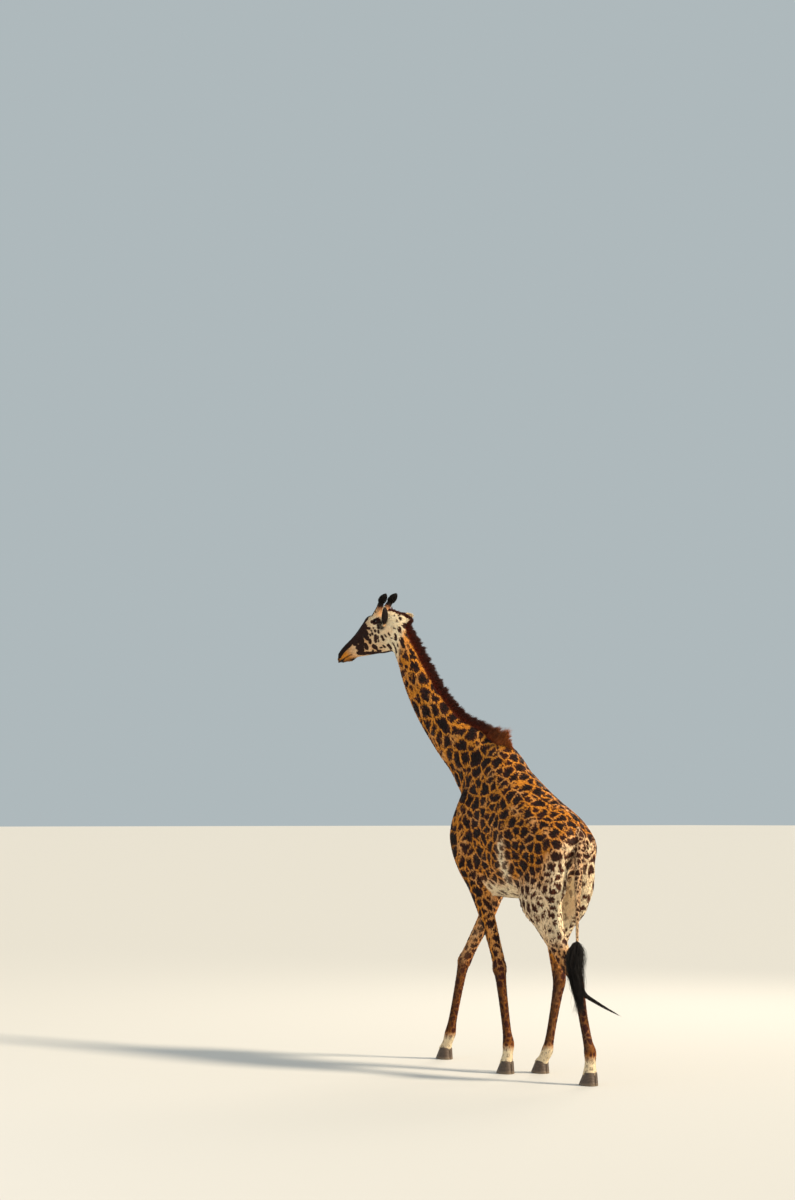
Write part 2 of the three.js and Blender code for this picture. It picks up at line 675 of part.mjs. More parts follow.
/** The solid part of the mane, a long low ridge along the crest. */
function maneRidge() {
  const rings = Array.from({ length: MANE_STEPS + 1 }, (_, i) => {
    const share = i / MANE_STEPS;
    const c = crest(MANE_FROM + (1 - MANE_FROM) * share);
    const top = Math.max(maneHeight(share) * MANE_CORE, MANE_LEAST);
    return MANE_SECTION.map(([across, rise]) => c.at.clone()
      .addScaledVector(c.side, across * MANE_WIDTH / 2)
      .addScaledVector(c.up, rise > 0 ? rise * top : rise * MANE_SUNK));
  });
  return solid(loft(rings));
}

/** Locks of the mane in three rows, leaning back to the withers. */
function maneLocks() {
  const roll = dice(11);
  return Array.from({ length: MANE_LOCKS }, (_, i) => {
    const share = (i + roll(0.1, 0.9)) / MANE_LOCKS;
    const row = (i % 3) - 1;
    const c = crest(MANE_FROM + (1 - MANE_FROM) * share);
    const height = Math.max(maneHeight(share), MANE_LOCK.least) * roll(...MANE_LOCK.height);
    const start = height / 2 - LOCK_ROOT;
    const back = -(height - start) * roll(...MANE_LOCK.lean);
    const points = LOCK_STEPS.map((t) => c.at.clone()
      .addScaledVector(c.side, row * MANE_ROW * (1 + t))
      .addScaledVector(c.up, THREE.MathUtils.lerp(start, height, t))
      .addScaledVector(c.along, back * t * t));
    return lock(points, points.map(() => c.side), roll(...MANE_LOCK.width), MANE_LOCK.thick);
  });
}

/** Tail tuft: a slim middle and locks that follow its bulb down to their tips. */
function tailTuft() {
  const slim = TUFT.map(([x, y, z, r]) => [x, y, z, Math.max(r * TUFT_CORE.share, TUFT_CORE.least)]);
  let hair = strand(slim, TUFT_CORE.sides);
  const roll = dice(37);
  const [root, full] = TAIL_LOCK_OUT;
  for (let i = 0; i < TAIL_LOCKS; i += 1) {
    const angle = i * TAIL_LOCK_TURN + roll(-TAIL_LOCK.stray, TAIL_LOCK.stray);
    const radial = new THREE.Vector3(Math.cos(angle), Math.sin(angle), 0);
    const from = roll(...TAIL_LOCK.from);
    const run = roll(...TAIL_LOCK.run);
    const points = LOCK_STEPS.map((t) => {
      const [x, y, z, radius] = between(TUFT, from + run * t);
      const out = THREE.MathUtils.lerp(root, full, THREE.MathUtils.smoothstep(t, 0, LOCK_STEPS[1]));
      return new THREE.Vector3(x, y, z).addScaledVector(radial, radius * out);
    });
    hair = hair.add(lock(points, points.map(() => radial), roll(...TAIL_LOCK.width), TAIL_LOCK.thick));
  }
  return hair.add(strand(FLYING_LOCK, FLYING_SIDES));
}

/** Tail: the dock, hanging free behind the buttocks. */
function dock() {
  const tail = flesh(TAIL, level(TAIL));
  const chosen = tail.frames.filter((_, i) => (tail.frames.length - 1 - i) % DOCK_EVERY === 0);
  const rings = chosen.map((f) => Array.from({ length: DOCK_SIDES }, (_, j) => {
    const angle = (j / DOCK_SIDES) * Math.PI * 2;
    return f.at.clone().addScaledVector(f.side, f.wide * Math.cos(angle))
      .addScaledVector(f.up, (Math.sin(angle) > 0 ? f.upper : f.lower) * Math.sin(angle));
  }));
  return loft(rings);
}

/** A tapering rope of hair through points, each with its radius. */
function strand(rows, sides) {
  const tuft = flesh(rows.map(([x, y, z, r]) => [x, y, z, r, r, r]), level(rows), { steps: TUFT_CORE.steps });
  return solid(loft(tuft.frames.map((f) => Array.from({ length: sides }, (_, j) => {
    const angle = (j / sides) * Math.PI * 2;
    return f.at.clone().addScaledVector(f.side, f.wide * Math.cos(angle))
      .addScaledVector(f.up, f.wide * Math.sin(angle));
  }))));
}

/** The eyeball, or with some growth the lids round it or the socket. */
function eyeBall(side, grow = 0) {
  const [along, left, up] = EYE;
  const centre = onHead(along, left * side, up);
  return solid(new THREE.SphereGeometry(EYE_RADIUS + grow, ...BALL).translate(...centre.toArray()));
}

/** The almond between the lids, as a prism out along the eye's own axis. */
function almond(side) {
  const [along, left, up] = EYE;
  const shape = new THREE.Shape();
  shape.moveTo(-EYE_OPEN.long, 0);
  shape.quadraticCurveTo(0, EYE_OPEN.high * 2, EYE_OPEN.long, 0);
  shape.quadraticCurveTo(0, -EYE_OPEN.low * 2, -EYE_OPEN.long, 0);
  const prism = new THREE.ExtrudeGeometry(shape, {
    depth: EYE_OPEN.out,
    bevelEnabled: false,
    curveSegments: STEPS,
  });
  const out = headAxes.left.clone().multiplyScalar(side);
  const x = headAxes.forward.clone();
  const y = new THREE.Vector3().crossVectors(out, x);
  const frame = new THREE.Matrix4().makeBasis(x, y, out).setPosition(onHead(along, left * side, up));
  return solid(prism.applyMatrix4(frame));
}

/** Nostril: a short slanting slot in the side of the muzzle. */
function nostril(side) {
  const { at: [along, left, up], reach, slant } = NOSTRIL;
  const frame = new THREE.Matrix4().makeBasis(headAxes.forward, headAxes.left, headAxes.up);
  frame.multiply(new THREE.Matrix4().makeRotationY(slant)).setPosition(onHead(along, left * side, up));
  return solid(new THREE.SphereGeometry(1, ...BALL).scale(...reach).applyMatrix4(frame));
}

/** The line of the mouth, a thin shallow slot round the muzzle. */
function mouthLine() {
  const length = MOUTH.to - MOUTH.from;
  const frame = new THREE.Matrix4().makeBasis(headAxes.forward, headAxes.left, headAxes.up);
  frame.multiply(new THREE.Matrix4().makeRotationY(Math.atan2(MOUTH.drop, length)));
  frame.setPosition(onHead((MOUTH.from + MOUTH.to) / 2, 0, MOUTH.up));
  const inside = hideLoft(bodies.head, MUZZLE_RINGS, (point) => hide(point) + MOUTH.depth);
  const slot = new THREE.BoxGeometry(length, MOUTH.width, MOUTH.height).applyMatrix4(frame);
  return solid(slot).subtract(solid(inside));
}

// ---------------------------------------------------------------- the whole and its parting
const sides = { left: 1, right: -1 };
const horns = { left: horn(1), right: horn(-1) };
const ears = { left: ear(EAR_LEFT), right: ear(EAR_RIGHT) };

/** All the flesh in one solid: trunk, neck, head, legs, feet and horns. */
function wholeBody() {
  let whole = solid(hideLoft(bodies.trunk, TRUNK_RINGS));
  const grow = (piece) => { whole = whole.add(piece); };
  grow(solid(hideLoft(bodies.neck, NECK_RINGS)));
  grow(solid(hideLoft(bodies.head, HEAD_RINGS)));
  for (const name of ['hindLeft', 'hindRight', 'foreLeft', 'foreRight']) {
    grow(solid(hideLoft(bodies[name], LEG_RINGS)));
  }
  for (const stations of [HIND_LEFT, HIND_RIGHT, FORE_LEFT, FORE_RIGHT]) grow(foot(stations));
  for (const [name, side] of Object.entries(sides)) {
    grow(lump(BROW, side));
    grow(lump(CHEEK, side));
    grow(eyeBall(side, LID_THICKNESS));
    grow(horns[name].core);
  }
  grow(maneRidge());
  maneLocks().forEach(grow);
  for (const side of Object.values(sides)) {
    whole = whole.subtract(almond(side)).subtract(eyeBall(side, GAP)).subtract(nostril(side));
  }
  return whole.subtract(mouthLine());
}

/** Adds the cuts that part the thighs from the torso and from each other. */
function cutThighs(cuts) {
  const yz = (y, z) => new THREE.Vector3(0, y, z);
  const thigh = new THREE.Vector3().subVectors(yz(...THIGH_CUT.back), yz(...THIGH_CUT.front));
  const normal = new THREE.Vector3().crossVectors(ACROSS, thigh).normalize();
  const middle = yz(...THIGH_CUT.front).addScaledVector(thigh, 0.5);
  const long = thigh.length() + THIGH_CUT.spare;
  cuts.push(block(middle, [THIGH_CUT.width, long, GAP], normal));
  const below = middle.clone().addScaledVector(normal, -THIGH_CUT.depth / 2);
  cuts.push(block(below, [GAP, long, THIGH_CUT.depth], normal));
}

/** Adds the cuts that part a hoof from its leg and its two claws from each other. */
function cutHoof(cuts, stations) {
  const [x, y] = stations[stations.length - 1];
  const coronet = new THREE.Vector3(x, y, HOOF_HEIGHT);
  cuts.push(block(coronet, [...HOOF_CUT.size, GAP], UPWARD));
  const cleft = coronet.clone().setZ((HOOF_HEIGHT - HOOF_CUT.above) / 2);
  cuts.push(block(cleft, [CLEFT, HOOF_CUT.cleft, HOOF_HEIGHT + HOOF_CUT.above], UPWARD));
}

/** Thin cuts that part the whole, each a plane with a limited reach. */
function partings() {
  const cuts = JOINT_CUTS.map(({ at, normal, size }) => block(at, [...size, GAP], normal));
  cutThighs(cuts);
  for (const [x, y] of FOREARM_CUT.at) {
    cuts.push(block(new THREE.Vector3(x, y, FOREARM_CUT.height), [...FOREARM_CUT.size, GAP], UPWARD));
  }
  for (const stations of [HIND_LEFT, HIND_RIGHT, FORE_LEFT, FORE_RIGHT]) cutHoof(cuts, stations);
  for (const { root, axis } of Object.values(horns)) {
    cuts.push(block(root.clone().addScaledVector(axis, HORN_CUT), [...HORN_CUT_SIZE, GAP], axis));
  }
  return cuts;
}

/** A piece that grows from the whole along a direction, cut clear of it. */
function clearOf(whole, piece, direction) {
  const shift = direction.clone().normalize().multiplyScalar(GAP);
  const moved = solid(geometryOf(whole).translate(...shift.toArray()));
  return largest(piece.subtract(whole).subtract(moved));
}

/** The pieces of the whole after all the thin cuts. */
function parted(whole) {
  let rest = whole;
  for (const cut of partings()) rest = rest.subtract(cut);
  return rest.decompose().filter((piece) => piece.volume() > 0);
}

const whole = wholeBody();
const loose = parted(whole);

/** The parted piece that holds a point. */
function holding(point) {
  const seed = block(point, [SEED.size, SEED.size, SEED.size], UPWARD);
  return loose.find((piece) => piece.intersect(seed).volume() > SEED.least);
}

/** A point of a leg at a station. */
function addLegs() {
  const legs = { hind_left: HIND_LEFT, hind_right: HIND_RIGHT, fore_left: FORE_LEFT, fore_right: FORE_RIGHT };
  for (const [name, stations] of Object.entries(legs)) {
    const end = vector(stations.at(-1));
    addPiece(`leg_${name}`, holding(vector(stations.at(-LEG_INSIDE))), 'coat');
    for (const [claw, across] of [['left', 1], ['right', -1]]) {
      const inside = new THREE.Vector3(end.x + (across * HOOF_WIDTH) / 4, end.y - HOOF_FORWARD, HOOF_HEIGHT / 2);
      addPiece(`claw_${name}_${claw}`, holding(inside), 'horn');
    }
  }
}

function addTrunkAndNeck() {
  addPiece('torso', holding(vector(WELL_INSIDE.torso)), 'coat');
  addPiece('neck_lower', holding(vector(WELL_INSIDE.neckLower)), 'coat');
  addPiece('neck_upper', holding(vector(WELL_INSIDE.neckUpper)), 'coat');
}

function addHead() {
  addPiece('head', holding(onHead(WELL_INSIDE.head[0], 0, 0)), 'coat');
  for (const [name, side] of Object.entries(sides)) {
    const { root, axis } = horns[name];
    addPiece(`ossicone_tuft_${name}`, holding(root.clone().addScaledVector(axis, HORN_INSIDE)), 'hair');
    addPiece(`eye_${name}`, eyeBall(side), 'eye');
    const outward = ears[name].way.clone().addScaledVector(headAxes.left, side);
    addPiece(`ear_${name}`, clearOf(whole, ears[name].leaf, outward), 'ear');
  }
}

function addTail() {
  const hanging = clearOf(whole, solid(dock()), new THREE.Vector3(0, 1, 0));
  const above = beyond(TUFT_CUT, UPWARD);
  const below = beyond(TUFT_CUT, UPWARD.clone().negate());
  addPiece('tail_dock', hanging.subtract(below), 'coat');
  addPiece('tail_tuft', tailTuft().subtract(above), 'hair');
}

addTrunkAndNeck();
addHead();
addLegs();
addTail();

// Put the origin under the middle of the whole animal.
const extent = new THREE.Box3().setFromObject(parts);
const middle = extent.getCenter(new THREE.Vector3());
parts.position.set(-middle.x, -middle.y, -extent.min.z);

export default parts;
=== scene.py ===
"""Masai giraffe cow, life size, as a still model: one skin with its markings, a short coat in
tufts, an upright mane, black hair on tail and horns, ears, eyes with lids, and cloven hooves."""
import math

import bmesh
import bpy
import numpy as np
from mathutils import Matrix, Vector


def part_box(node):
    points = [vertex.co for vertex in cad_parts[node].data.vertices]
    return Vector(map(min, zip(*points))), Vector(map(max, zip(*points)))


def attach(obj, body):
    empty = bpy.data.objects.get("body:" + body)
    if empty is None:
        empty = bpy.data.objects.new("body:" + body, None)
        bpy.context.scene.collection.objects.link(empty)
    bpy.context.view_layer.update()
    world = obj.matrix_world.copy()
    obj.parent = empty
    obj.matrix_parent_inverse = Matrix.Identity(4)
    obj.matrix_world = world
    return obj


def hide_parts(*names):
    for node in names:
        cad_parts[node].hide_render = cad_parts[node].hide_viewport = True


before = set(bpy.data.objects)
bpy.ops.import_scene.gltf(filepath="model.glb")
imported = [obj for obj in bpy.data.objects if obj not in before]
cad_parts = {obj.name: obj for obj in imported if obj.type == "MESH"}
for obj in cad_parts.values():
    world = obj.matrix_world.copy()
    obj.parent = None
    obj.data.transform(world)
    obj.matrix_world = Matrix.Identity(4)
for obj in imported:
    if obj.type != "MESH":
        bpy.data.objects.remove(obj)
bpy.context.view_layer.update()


# ---------------------------------------------------------------- sizes, in millimetres
# A station is a cross-section: x, y, z and its reaches above, below and to the side. On a leg
# or the tail, which run downwards, above is to the front and below is to the back. Flesh ends in
# a cap as long as its last station is wide, so the trunk's last one, at the chest, is small.
STEPS = 5
TRUNK = [
    [0, 672, 1880, 26, 40, 50], [0, 652, 1884, 88, 105, 135], [0, 600, 1889, 164, 190, 210],
    [0, 510, 1897, 240, 262, 258], [0, 380, 1913, 306, 353, 292], [0, 200, 1932, 388, 440, 318],
    [0, 0, 1954, 502, 508, 322], [0, -180, 1974, 622, 533, 300], [0, -330, 1990, 736, 538, 282],
    [0, -500, 2009, 692, 528, 262], [0, -640, 2024, 536, 474, 236], [0, -760, 2037, 363, 357, 192],
    [0, -838, 2046, 205, 212, 130], [0, -866, 2050, 16, 17, 12],
]
NECK = [
    [0, -440, 2340, 380, 330, 190], [4, -600, 2510, 322, 300, 172], [16, -750, 2665, 262, 262, 150],
    [50, -967, 2832, 205, 205, 124], [98, -1201, 3097, 170, 170, 106],
    [138, -1353, 3346, 149, 142, 94], [170, -1448, 3560, 124, 113, 84],
    [203, -1520, 3720, 112, 106, 79], [230, -1558, 3845, 108, 120, 78],
]
NECK_TURN = [0, 0, 6, 9, 12, 15, 18, 21, 23]  # degrees to the left
HEAD_START = [245, -1562, 3850]
HEAD_TURN, HEAD_DROP, HEAD_ROLL = 23, 24, 7  # degrees
HEAD = [  # along the head, rise of its middle, reaches above, below and to the side
    [-146, -10, 10, 46, 30], [-110, 0, 58, 98, 50], [-68, 0, 106, 135, 62], [-20, 0, 142, 150, 68],
    [60, 0, 168, 212, 82], [130, 0, 174, 200, 90], [200, 0, 190, 183, 90], [260, 0, 163, 158, 78],
    [330, 0, 130, 136, 64], [400, 0, 101, 113, 56], [470, 0, 79, 92, 55], [520, -1, 66, 97, 60],
    [562, -4, 52, 96, 61], [597, -15, 42, 80, 55], [624, -28, 29, 54, 48], [645, -37, 21, 33, 36],
    [657, -42, 7, 12, 16],
]
HIND_LEFT = [
    [140, 440, 1870, 240, 196, 118], [158, 372, 1620, 262, 248, 128], [160, 360, 1450, 258, 222, 122],
    [158, 415, 1295, 150, 156, 98], [153, 500, 1140, 96, 108, 80], [146, 596, 990, 68, 72, 60],
    [135, 722, 838, 56, 66, 52], [130, 762, 720, 43, 48, 43], [126, 800, 530, 38, 41, 37],
    [122, 846, 345, 39, 43, 38], [120, 870, 262, 50, 54, 49], [120, 872, 172, 45, 47, 45],
    [120, 866, 92, 58, 60, 56],
]
HIND_RIGHT = [
    [-140, 430, 1870, 240, 204, 118], [-158, 345, 1620, 258, 262, 128],
    [-160, 275, 1450, 230, 250, 120], [-155, 210, 1290, 155, 182, 98],
    [-150, 178, 1130, 106, 120, 80], [-142, 188, 960, 72, 74, 60], [-130, 222, 785, 55, 66, 52],
    [-125, 200, 650, 43, 48, 43], [-120, 150, 440, 37, 41, 37], [-117, 108, 275, 38, 42, 38],
    [-115, 84, 195, 48, 53, 48], [-113, 46, 130, 45, 47, 45], [-112, 12, 84, 57, 58, 56],
]
FORE_LEFT = [
    [150, -520, 2280, 120, 150, 78], [182, -600, 2120, 132, 170, 88], [192, -645, 1940, 128, 185, 95],
    [188, -580, 1750, 118, 170, 94], [170, -482, 1570, 100, 112, 80], [157, -425, 1420, 84, 88, 67],
    [142, -366, 1250, 72, 70, 58], [128, -300, 1050, 60, 58, 52], [122, -262, 930, 58, 56, 53],
    [120, -245, 855, 66, 58, 60], [121, -230, 770, 48, 46, 46], [127, -186, 560, 40, 42, 38],
    [135, -140, 350, 38, 42, 37], [139, -117, 245, 50, 54, 48], [141, -124, 160, 45, 46, 44],
    [143, -136, 90, 58, 60, 56],
]
FORE_RIGHT = [
    [-150, -520, 2280, 120, 150, 78], [-182, -610, 2120, 140, 170, 88],
    [-192, -680, 1940, 142, 185, 95], [-188, -668, 1750, 150, 170, 94],
    [-170, -628, 1560, 118, 112, 80], [-155, -676, 1410, 88, 88, 67], [-145, -755, 1250, 74, 72, 58],
    [-130, -886, 1060, 60, 58, 52], [-124, -968, 940, 58, 56, 53], [-120, -1015, 868, 66, 58, 60],
    [-118, -1048, 785, 48, 46, 46], [-115, -1112, 570, 40, 42, 38], [-112, -1176, 350, 38, 42, 37],
    [-110, -1210, 232, 50, 54, 48], [-110, -1246, 150, 45, 46, 44], [-110, -1278, 88, 58, 60, 56],
]
TAIL = [
    [0, 560, 2015, 58, 58, 55], [10, 636, 1968, 50, 50, 50], [37, 682, 1881, 42, 42, 42],
    [67, 701, 1742, 36, 36, 37], [90, 711, 1574, 30, 31, 31], [109, 725, 1406, 21, 21, 21],
    [122, 734, 1258, 15, 15, 15], [133, 745, 1110, 13, 13, 13],
]
LEGS = {"hind_left": HIND_LEFT, "hind_right": HIND_RIGHT, "fore_left": FORE_LEFT,
        "fore_right": FORE_RIGHT}
LEG_BLEND = {"hind": 70, "fore": 80}  # how softly a leg runs into the trunk
HORNS = ("horn_left", "horn_right")
SIDES = {"left": 1, "right": -1}
HOOF_LENGTH, HOOF_WIDTH, HOOF_HEIGHT = 178, 128, 88
HOOF_FORWARD, HOOF_TOE_TAPER, CLEFT, TOES_PART = 22, 0.22, 5, 5
CLAW_RISES = [  # share of the hoof's height, and how full the claw is there
    (0, 0.95), (0.05, 1), (0.25, 1), (0.5, 1), (0.75, 1), (1, 1), (1.15, 0.96), (1.25, 0.8),
]

EYE_RADIUS, LID_THICKNESS = 25, 6
EYE = [108, 67, 100]  # along the head, to its left, above its axis
EYE_OPEN_LONG, EYE_OPEN_HIGH, EYE_OPEN_LOW = 24, 13, 10
BROW = ([108, 40, 95], [64, 54, 48])  # middle of the swell and its reach each way
CHEEK = ([108, 44, -62], [96, 41, 96])
BROW_BLEND, CHEEK_BLEND, LID_BLEND = 34, 44, 12
FACE_MIDDLE, FACE_REACH = [108, 0, 20], 260  # the ball that holds brows, cheeks and lids
NOSTRIL, NOSTRIL_LONG, NOSTRIL_HIGH, NOSTRIL_DEEP = [600, 46, 4], 17, 5, 11
MOUTH_FROM, MOUTH_UP, MOUTH_DEEP = 468, -50, 5
HORN_FOOT, HORN_TIP = [122, 38, 118], [-81, 108, 269]
HORN_RADII = [54, 50, 43, 36, 31, 28, 24, 17]
HORN_CORE = 0.88
HORN_TUFT = [  # share of the horn, radius there, and how far it leans to the front
    [0.66, 29, 0], [0.72, 37, -1], [0.79, 40, -5], [0.87, 37, -12], [0.94, 24, -20], [1.0, 4, -30],
]
EAR_LENGTH, EAR_WIDTH, EAR_DEPTH, EAR_WALL = 178, 84, 30, 6
EARS = {
    "left": ([58, 74, 26], [0.26, 0.36, 0.9], [0.35, -0.93, 0.1]),
    "right": ([10, -66, 62], [-0.72, 0.67, 0.18], [0.5, 0.8, 0.15]),
}
EAR_STATIONS = [  # share of its length, of its width, and how hollow it is
    [0, 0.5, -0.55], [0.12, 0.56, -0.3], [0.26, 0.8, 0.6], [0.42, 1, 1],
    [0.6, 0.98, 1], [0.78, 0.84, 0.9], [0.92, 0.54, 0.6], [1, 0.12, 0.2],
]
MANE_HEIGHT, POLL_MANE, WITHERS_MANE, POLL_END = 78, 60, 176, 0.28
MANE_FROM, WITHERS_AT, WITHERS_SPREAD = 0.055, 0.15, 0.068
NAPE, NAPE_DROPPED, CREST_REACH = [-118, -92, -66, -40, -14], 2, 700
TUFT = [
    [133, 745, 1137, 16], [148, 752, 1105, 50], [178, 772, 1052, 80], [207, 793, 989, 90],
    [226, 814, 906, 78], [218, 824, 816, 64], [204, 830, 726, 48], [188, 826, 665, 26],
    [184, 826, 645, 8],
]
FLYING_LOCK = [[198, 812, 795, 20], [146, 850, 704, 14], [56, 968, 618, 9], [-44, 1074, 542, 3]]
RELIEF_MARGIN = 60  # how near the surface the relief is worked out
TRUNK_TOP = 2700  # above it lies only the head and neck
COAT_DEPTH = 3  # how far the skin lies under the tips of the short coat
SKIN_VOXEL = 9
# Folds, bones and muscles of the left side, mirrored on the right: two ends of a line, its reach
# to each side and its rise out of the flesh.
RELIEF = [
    [[150, -560, 2480], [205, -700, 1980], 58, 9], [[190, -480, 2380], [235, -480, 1900], 46, -13],
    [[140, -770, 2480], [190, -800, 2050], 42, -10], [[215, 215, 2250], [225, 300, 2130], 62, 10],
    [[300, 110, 2010], [265, 105, 1700], 42, -15], [[300, 10, 1990], [262, -40, 1690], 40, 9],
    [[235, 60, 1640], [165, 190, 1450], 26, 9], [[250, 480, 1850], [215, 520, 1400], 36, -9],
    [[272, 330, 1800], [255, 400, 1450], 60, 6], [[120, 640, 2090], [150, 660, 1960], 46, 9],
    [[60, -240, 2600], [60, 380, 2330], 34, -6], [[170, -640, 1900], [175, -560, 1640], 34, 7],
]
RIBS, RIB_REACH, RIB_RISE = range(-330, 70, 78), 24, 2.6
RIB_LEVEL, RIB_SLANT = 2050, 0.18  # the height that they are placed at, and their lean above it
FACE_RELIEF = [  # on the head: along, to the left and up
    [[150, 84, 30], [400, 54, 4], 17, 4.5], [[230, 70, 70], [470, 48, 30], 24, -4],
    [[44, 70, 62], [70, 76, 92], 24, -6], [[180, 84, -60], [300, 62, -70], 26, -4],
    [[520, 50, -22], [618, 44, -40], 16, 3], [[540, 48, -76], [612, 40, -68], 13, 3],
    [[585, 46, 14], [612, 40, 8], 17, 3],
]
# Grooves along the neck and the shanks: depth, and place and width round them as a sine.
NECK_GROOVE, NECK_GROOVE_AT, NECK_GROOVE_WIDTH = 6, -0.55, 0.22
TENDON_GROOVE, TENDON_AT, TENDON_WIDTH = 3.2, -0.42, 0.26


# ---------------------------------------------------------------- curves and flesh
def unit(vectors):
    """Vectors at length one."""
    return vectors / np.maximum(np.linalg.norm(vectors, axis=-1, keepdims=True), 1e-9)


def dots(a, b):
    """Dot product of each pair of vectors, kept as a column."""
    return (a * b).sum(-1, keepdims=True)


def ramp(value, low, high):
    """Smooth step from 0 at low to 1 at high."""
    t = np.clip((value - low) / (high - low), 0, 1)
    return t * t * (3 - 2 * t)


def fall(value, low, high):
    """Smooth step from 1 at low to 0 at high."""
    return ramp(-value, -high, -low)


def mix(a, b, share):
    """From a at share 0 to b at share 1."""
    return a + (b - a) * share


def between(rows, i, part):
    """Row i mixed with the row after it."""
    return mix(rows[i], rows[i + 1], part)


def bell(value):
    """1 at 0, falling off smoothly to both sides."""
    return np.exp(-(value**2))


def away(vectors):
    """Length of each vector."""
    return np.linalg.norm(vectors, axis=1)


def refined(rows, steps=STEPS):
    """Rows of numbers, made finer by a spline through them."""
    rows = np.asarray(rows, float)
    last = len(rows) - 1
    fine = []
    for i in range(last):
        a, b, c, d = (rows[min(max(k, 0), last)] for k in (i - 1, i, i + 1, i + 2))
        for t in np.arange(steps) / steps:
            bend = (2 * a - 5 * b + 4 * c - d) * t**2 + (3 * b - a - 3 * c + d) * t**3
            fine.append(0.5 * (2 * b + (c - a) * t + bend))
    return np.array([*fine, rows[last]])


def read_rows(rows, share):
    """Rows of numbers read at places from the first row (0) to the last (1)."""
    rows = np.asarray(rows, float)
    at = np.clip(share, 0, 1) * (len(rows) - 1)
    i = np.minimum(at.astype(int), len(rows) - 2)
    return between(rows, i, (at - i)[..., None])


def turned(degrees):
    """The way to the animal's left, turned by some degrees."""
    return [math.cos(math.radians(degrees)), math.sin(math.radians(degrees)), 0]


def head_axes():
    """Directions of the head: forward, to its left, and up."""
    turn, drop = math.radians(HEAD_TURN), math.radians(HEAD_DROP)
    ahead = math.cos(drop)
    forward = Vector((math.sin(turn) * ahead, -math.cos(turn) * ahead, -math.sin(drop)))
    left = Matrix.Rotation(-math.radians(HEAD_ROLL), 3, forward) @ Vector(turned(HEAD_TURN))
    return np.array([forward, left, forward.cross(left)])


HEAD_AXES = head_axes()


def on_head(places):
    """Points given along, to the left of and above the head's axis."""
    return np.asarray(HEAD_START, float) + np.asarray(places, float) @ HEAD_AXES


def head_places(points):
    """Places along, to the left of and above the head's axis."""
    return (points - np.asarray(HEAD_START, float)) @ HEAD_AXES.T


def both_sides(places, axis=1):
    """A copy of places, with those of the right side mirrored to the left."""
    places = places.copy()
    places[:, axis] = np.abs(places[:, axis])
    return places


def sided(places, side):
    """Places on the left of the head, or their mirror images where side is -1."""
    return np.asarray(places, float) * [1, side, 1]


POINTS_AT_ONCE = 20000


class Flesh:
    """Flesh along a centre line: frames with their reaches above, below and to the side."""

    def __init__(self, stations, sides, crest=2.0, keel=2.0, blend=60, lie=1, steps=STEPS):
        rows = refined(np.hstack([stations, sides]), steps)
        self.at = rows[:, :3]
        self.upper, self.lower, self.wide = rows[:, 3:6].T
        after, before = np.vstack([self.at[1:], self.at[-1:]]), np.vstack([self.at[:1], self.at[:-1]])
        self.along = unit(after - before)
        self.side = unit(rows[:, 6:9] - dots(rows[:, 6:9], self.along) * self.along)
        self.up = np.cross(self.along, self.side)
        self.crest, self.keel, self.blend, self.lie = crest, keel, blend, lie
        reach = rows[:, 3:6].max(1)[:, None]
        self.low = (self.at - reach).min(0) - blend - RELIEF_MARGIN
        self.high = (self.at + reach).max(0) + blend + RELIEF_MARGIN

    def nearest(self, points):
        """Which stretch of the centre line each point is nearest to, and how far along it."""
        start, step = self.at[:-1], self.at[1:] - self.at[:-1]
        squared = (step**2).sum(1)
        index, part = np.empty(len(points), int), np.empty(len(points))
        for first in range(0, len(points), POINTS_AT_ONCE):
            batch = slice(first, first + POINTS_AT_ONCE)
            some = points[batch]
            run = some @ step.T - (start * step).sum(1)
            t = np.clip(run / squared, 0, 1)
            gap = (start**2).sum(1) - 2 * some @ start.T + t * (t * squared - 2 * run)
            best = gap.argmin(1)
            index[batch], part[batch] = best, t[np.arange(len(some)), best]
        return index, part

    def look(self, points):
        """Signed distance of each point, and its place: index, part, offset, angle."""
        i, part = self.nearest(points)
        t = part[:, None]
        offset = points - between(self.at, i, t)
        side, up = between(self.side, i, t), between(self.up, i, t)
        wide = between(self.wide, i, part)
        rise, across = dots(offset, up)[:, 0], dots(offset, side)[:, 0]
        own = np.where(rise > 0, between(self.upper, i, part), between(self.lower, i, part))
        power = np.where(rise > 0, self.crest, self.keel)
        ring = (np.abs(across / wide) ** power + np.abs(rise / own) ** power) ** (1 / power)
        end = dots(offset, self.along[i])[:, 0] / wide
        ratio = np.maximum(np.hypot(ring, end), 1e-6)
        distance = away(offset) * (1 - 1 / ratio)
        return distance, i, part, offset, np.arctan2(rise / own, across / wide)


def level(stations):
    """A level way to the left for each station."""
    return [turned(0)] * len(stations)


def horn_flesh(side):
    """The bony stalk of a horn under its skin."""
    share = np.linspace(0, HORN_CORE, len(HORN_RADII))[:, None]
    line = sided(mix(np.array(HORN_FOOT, float), np.array(HORN_TIP, float), share), side)
    reach = np.repeat(np.array(HORN_RADII, float)[:, None], 3, axis=1)
    return Flesh(np.hstack([on_head(line), reach]), [HEAD_AXES[1]] * len(line), blend=38, steps=3)


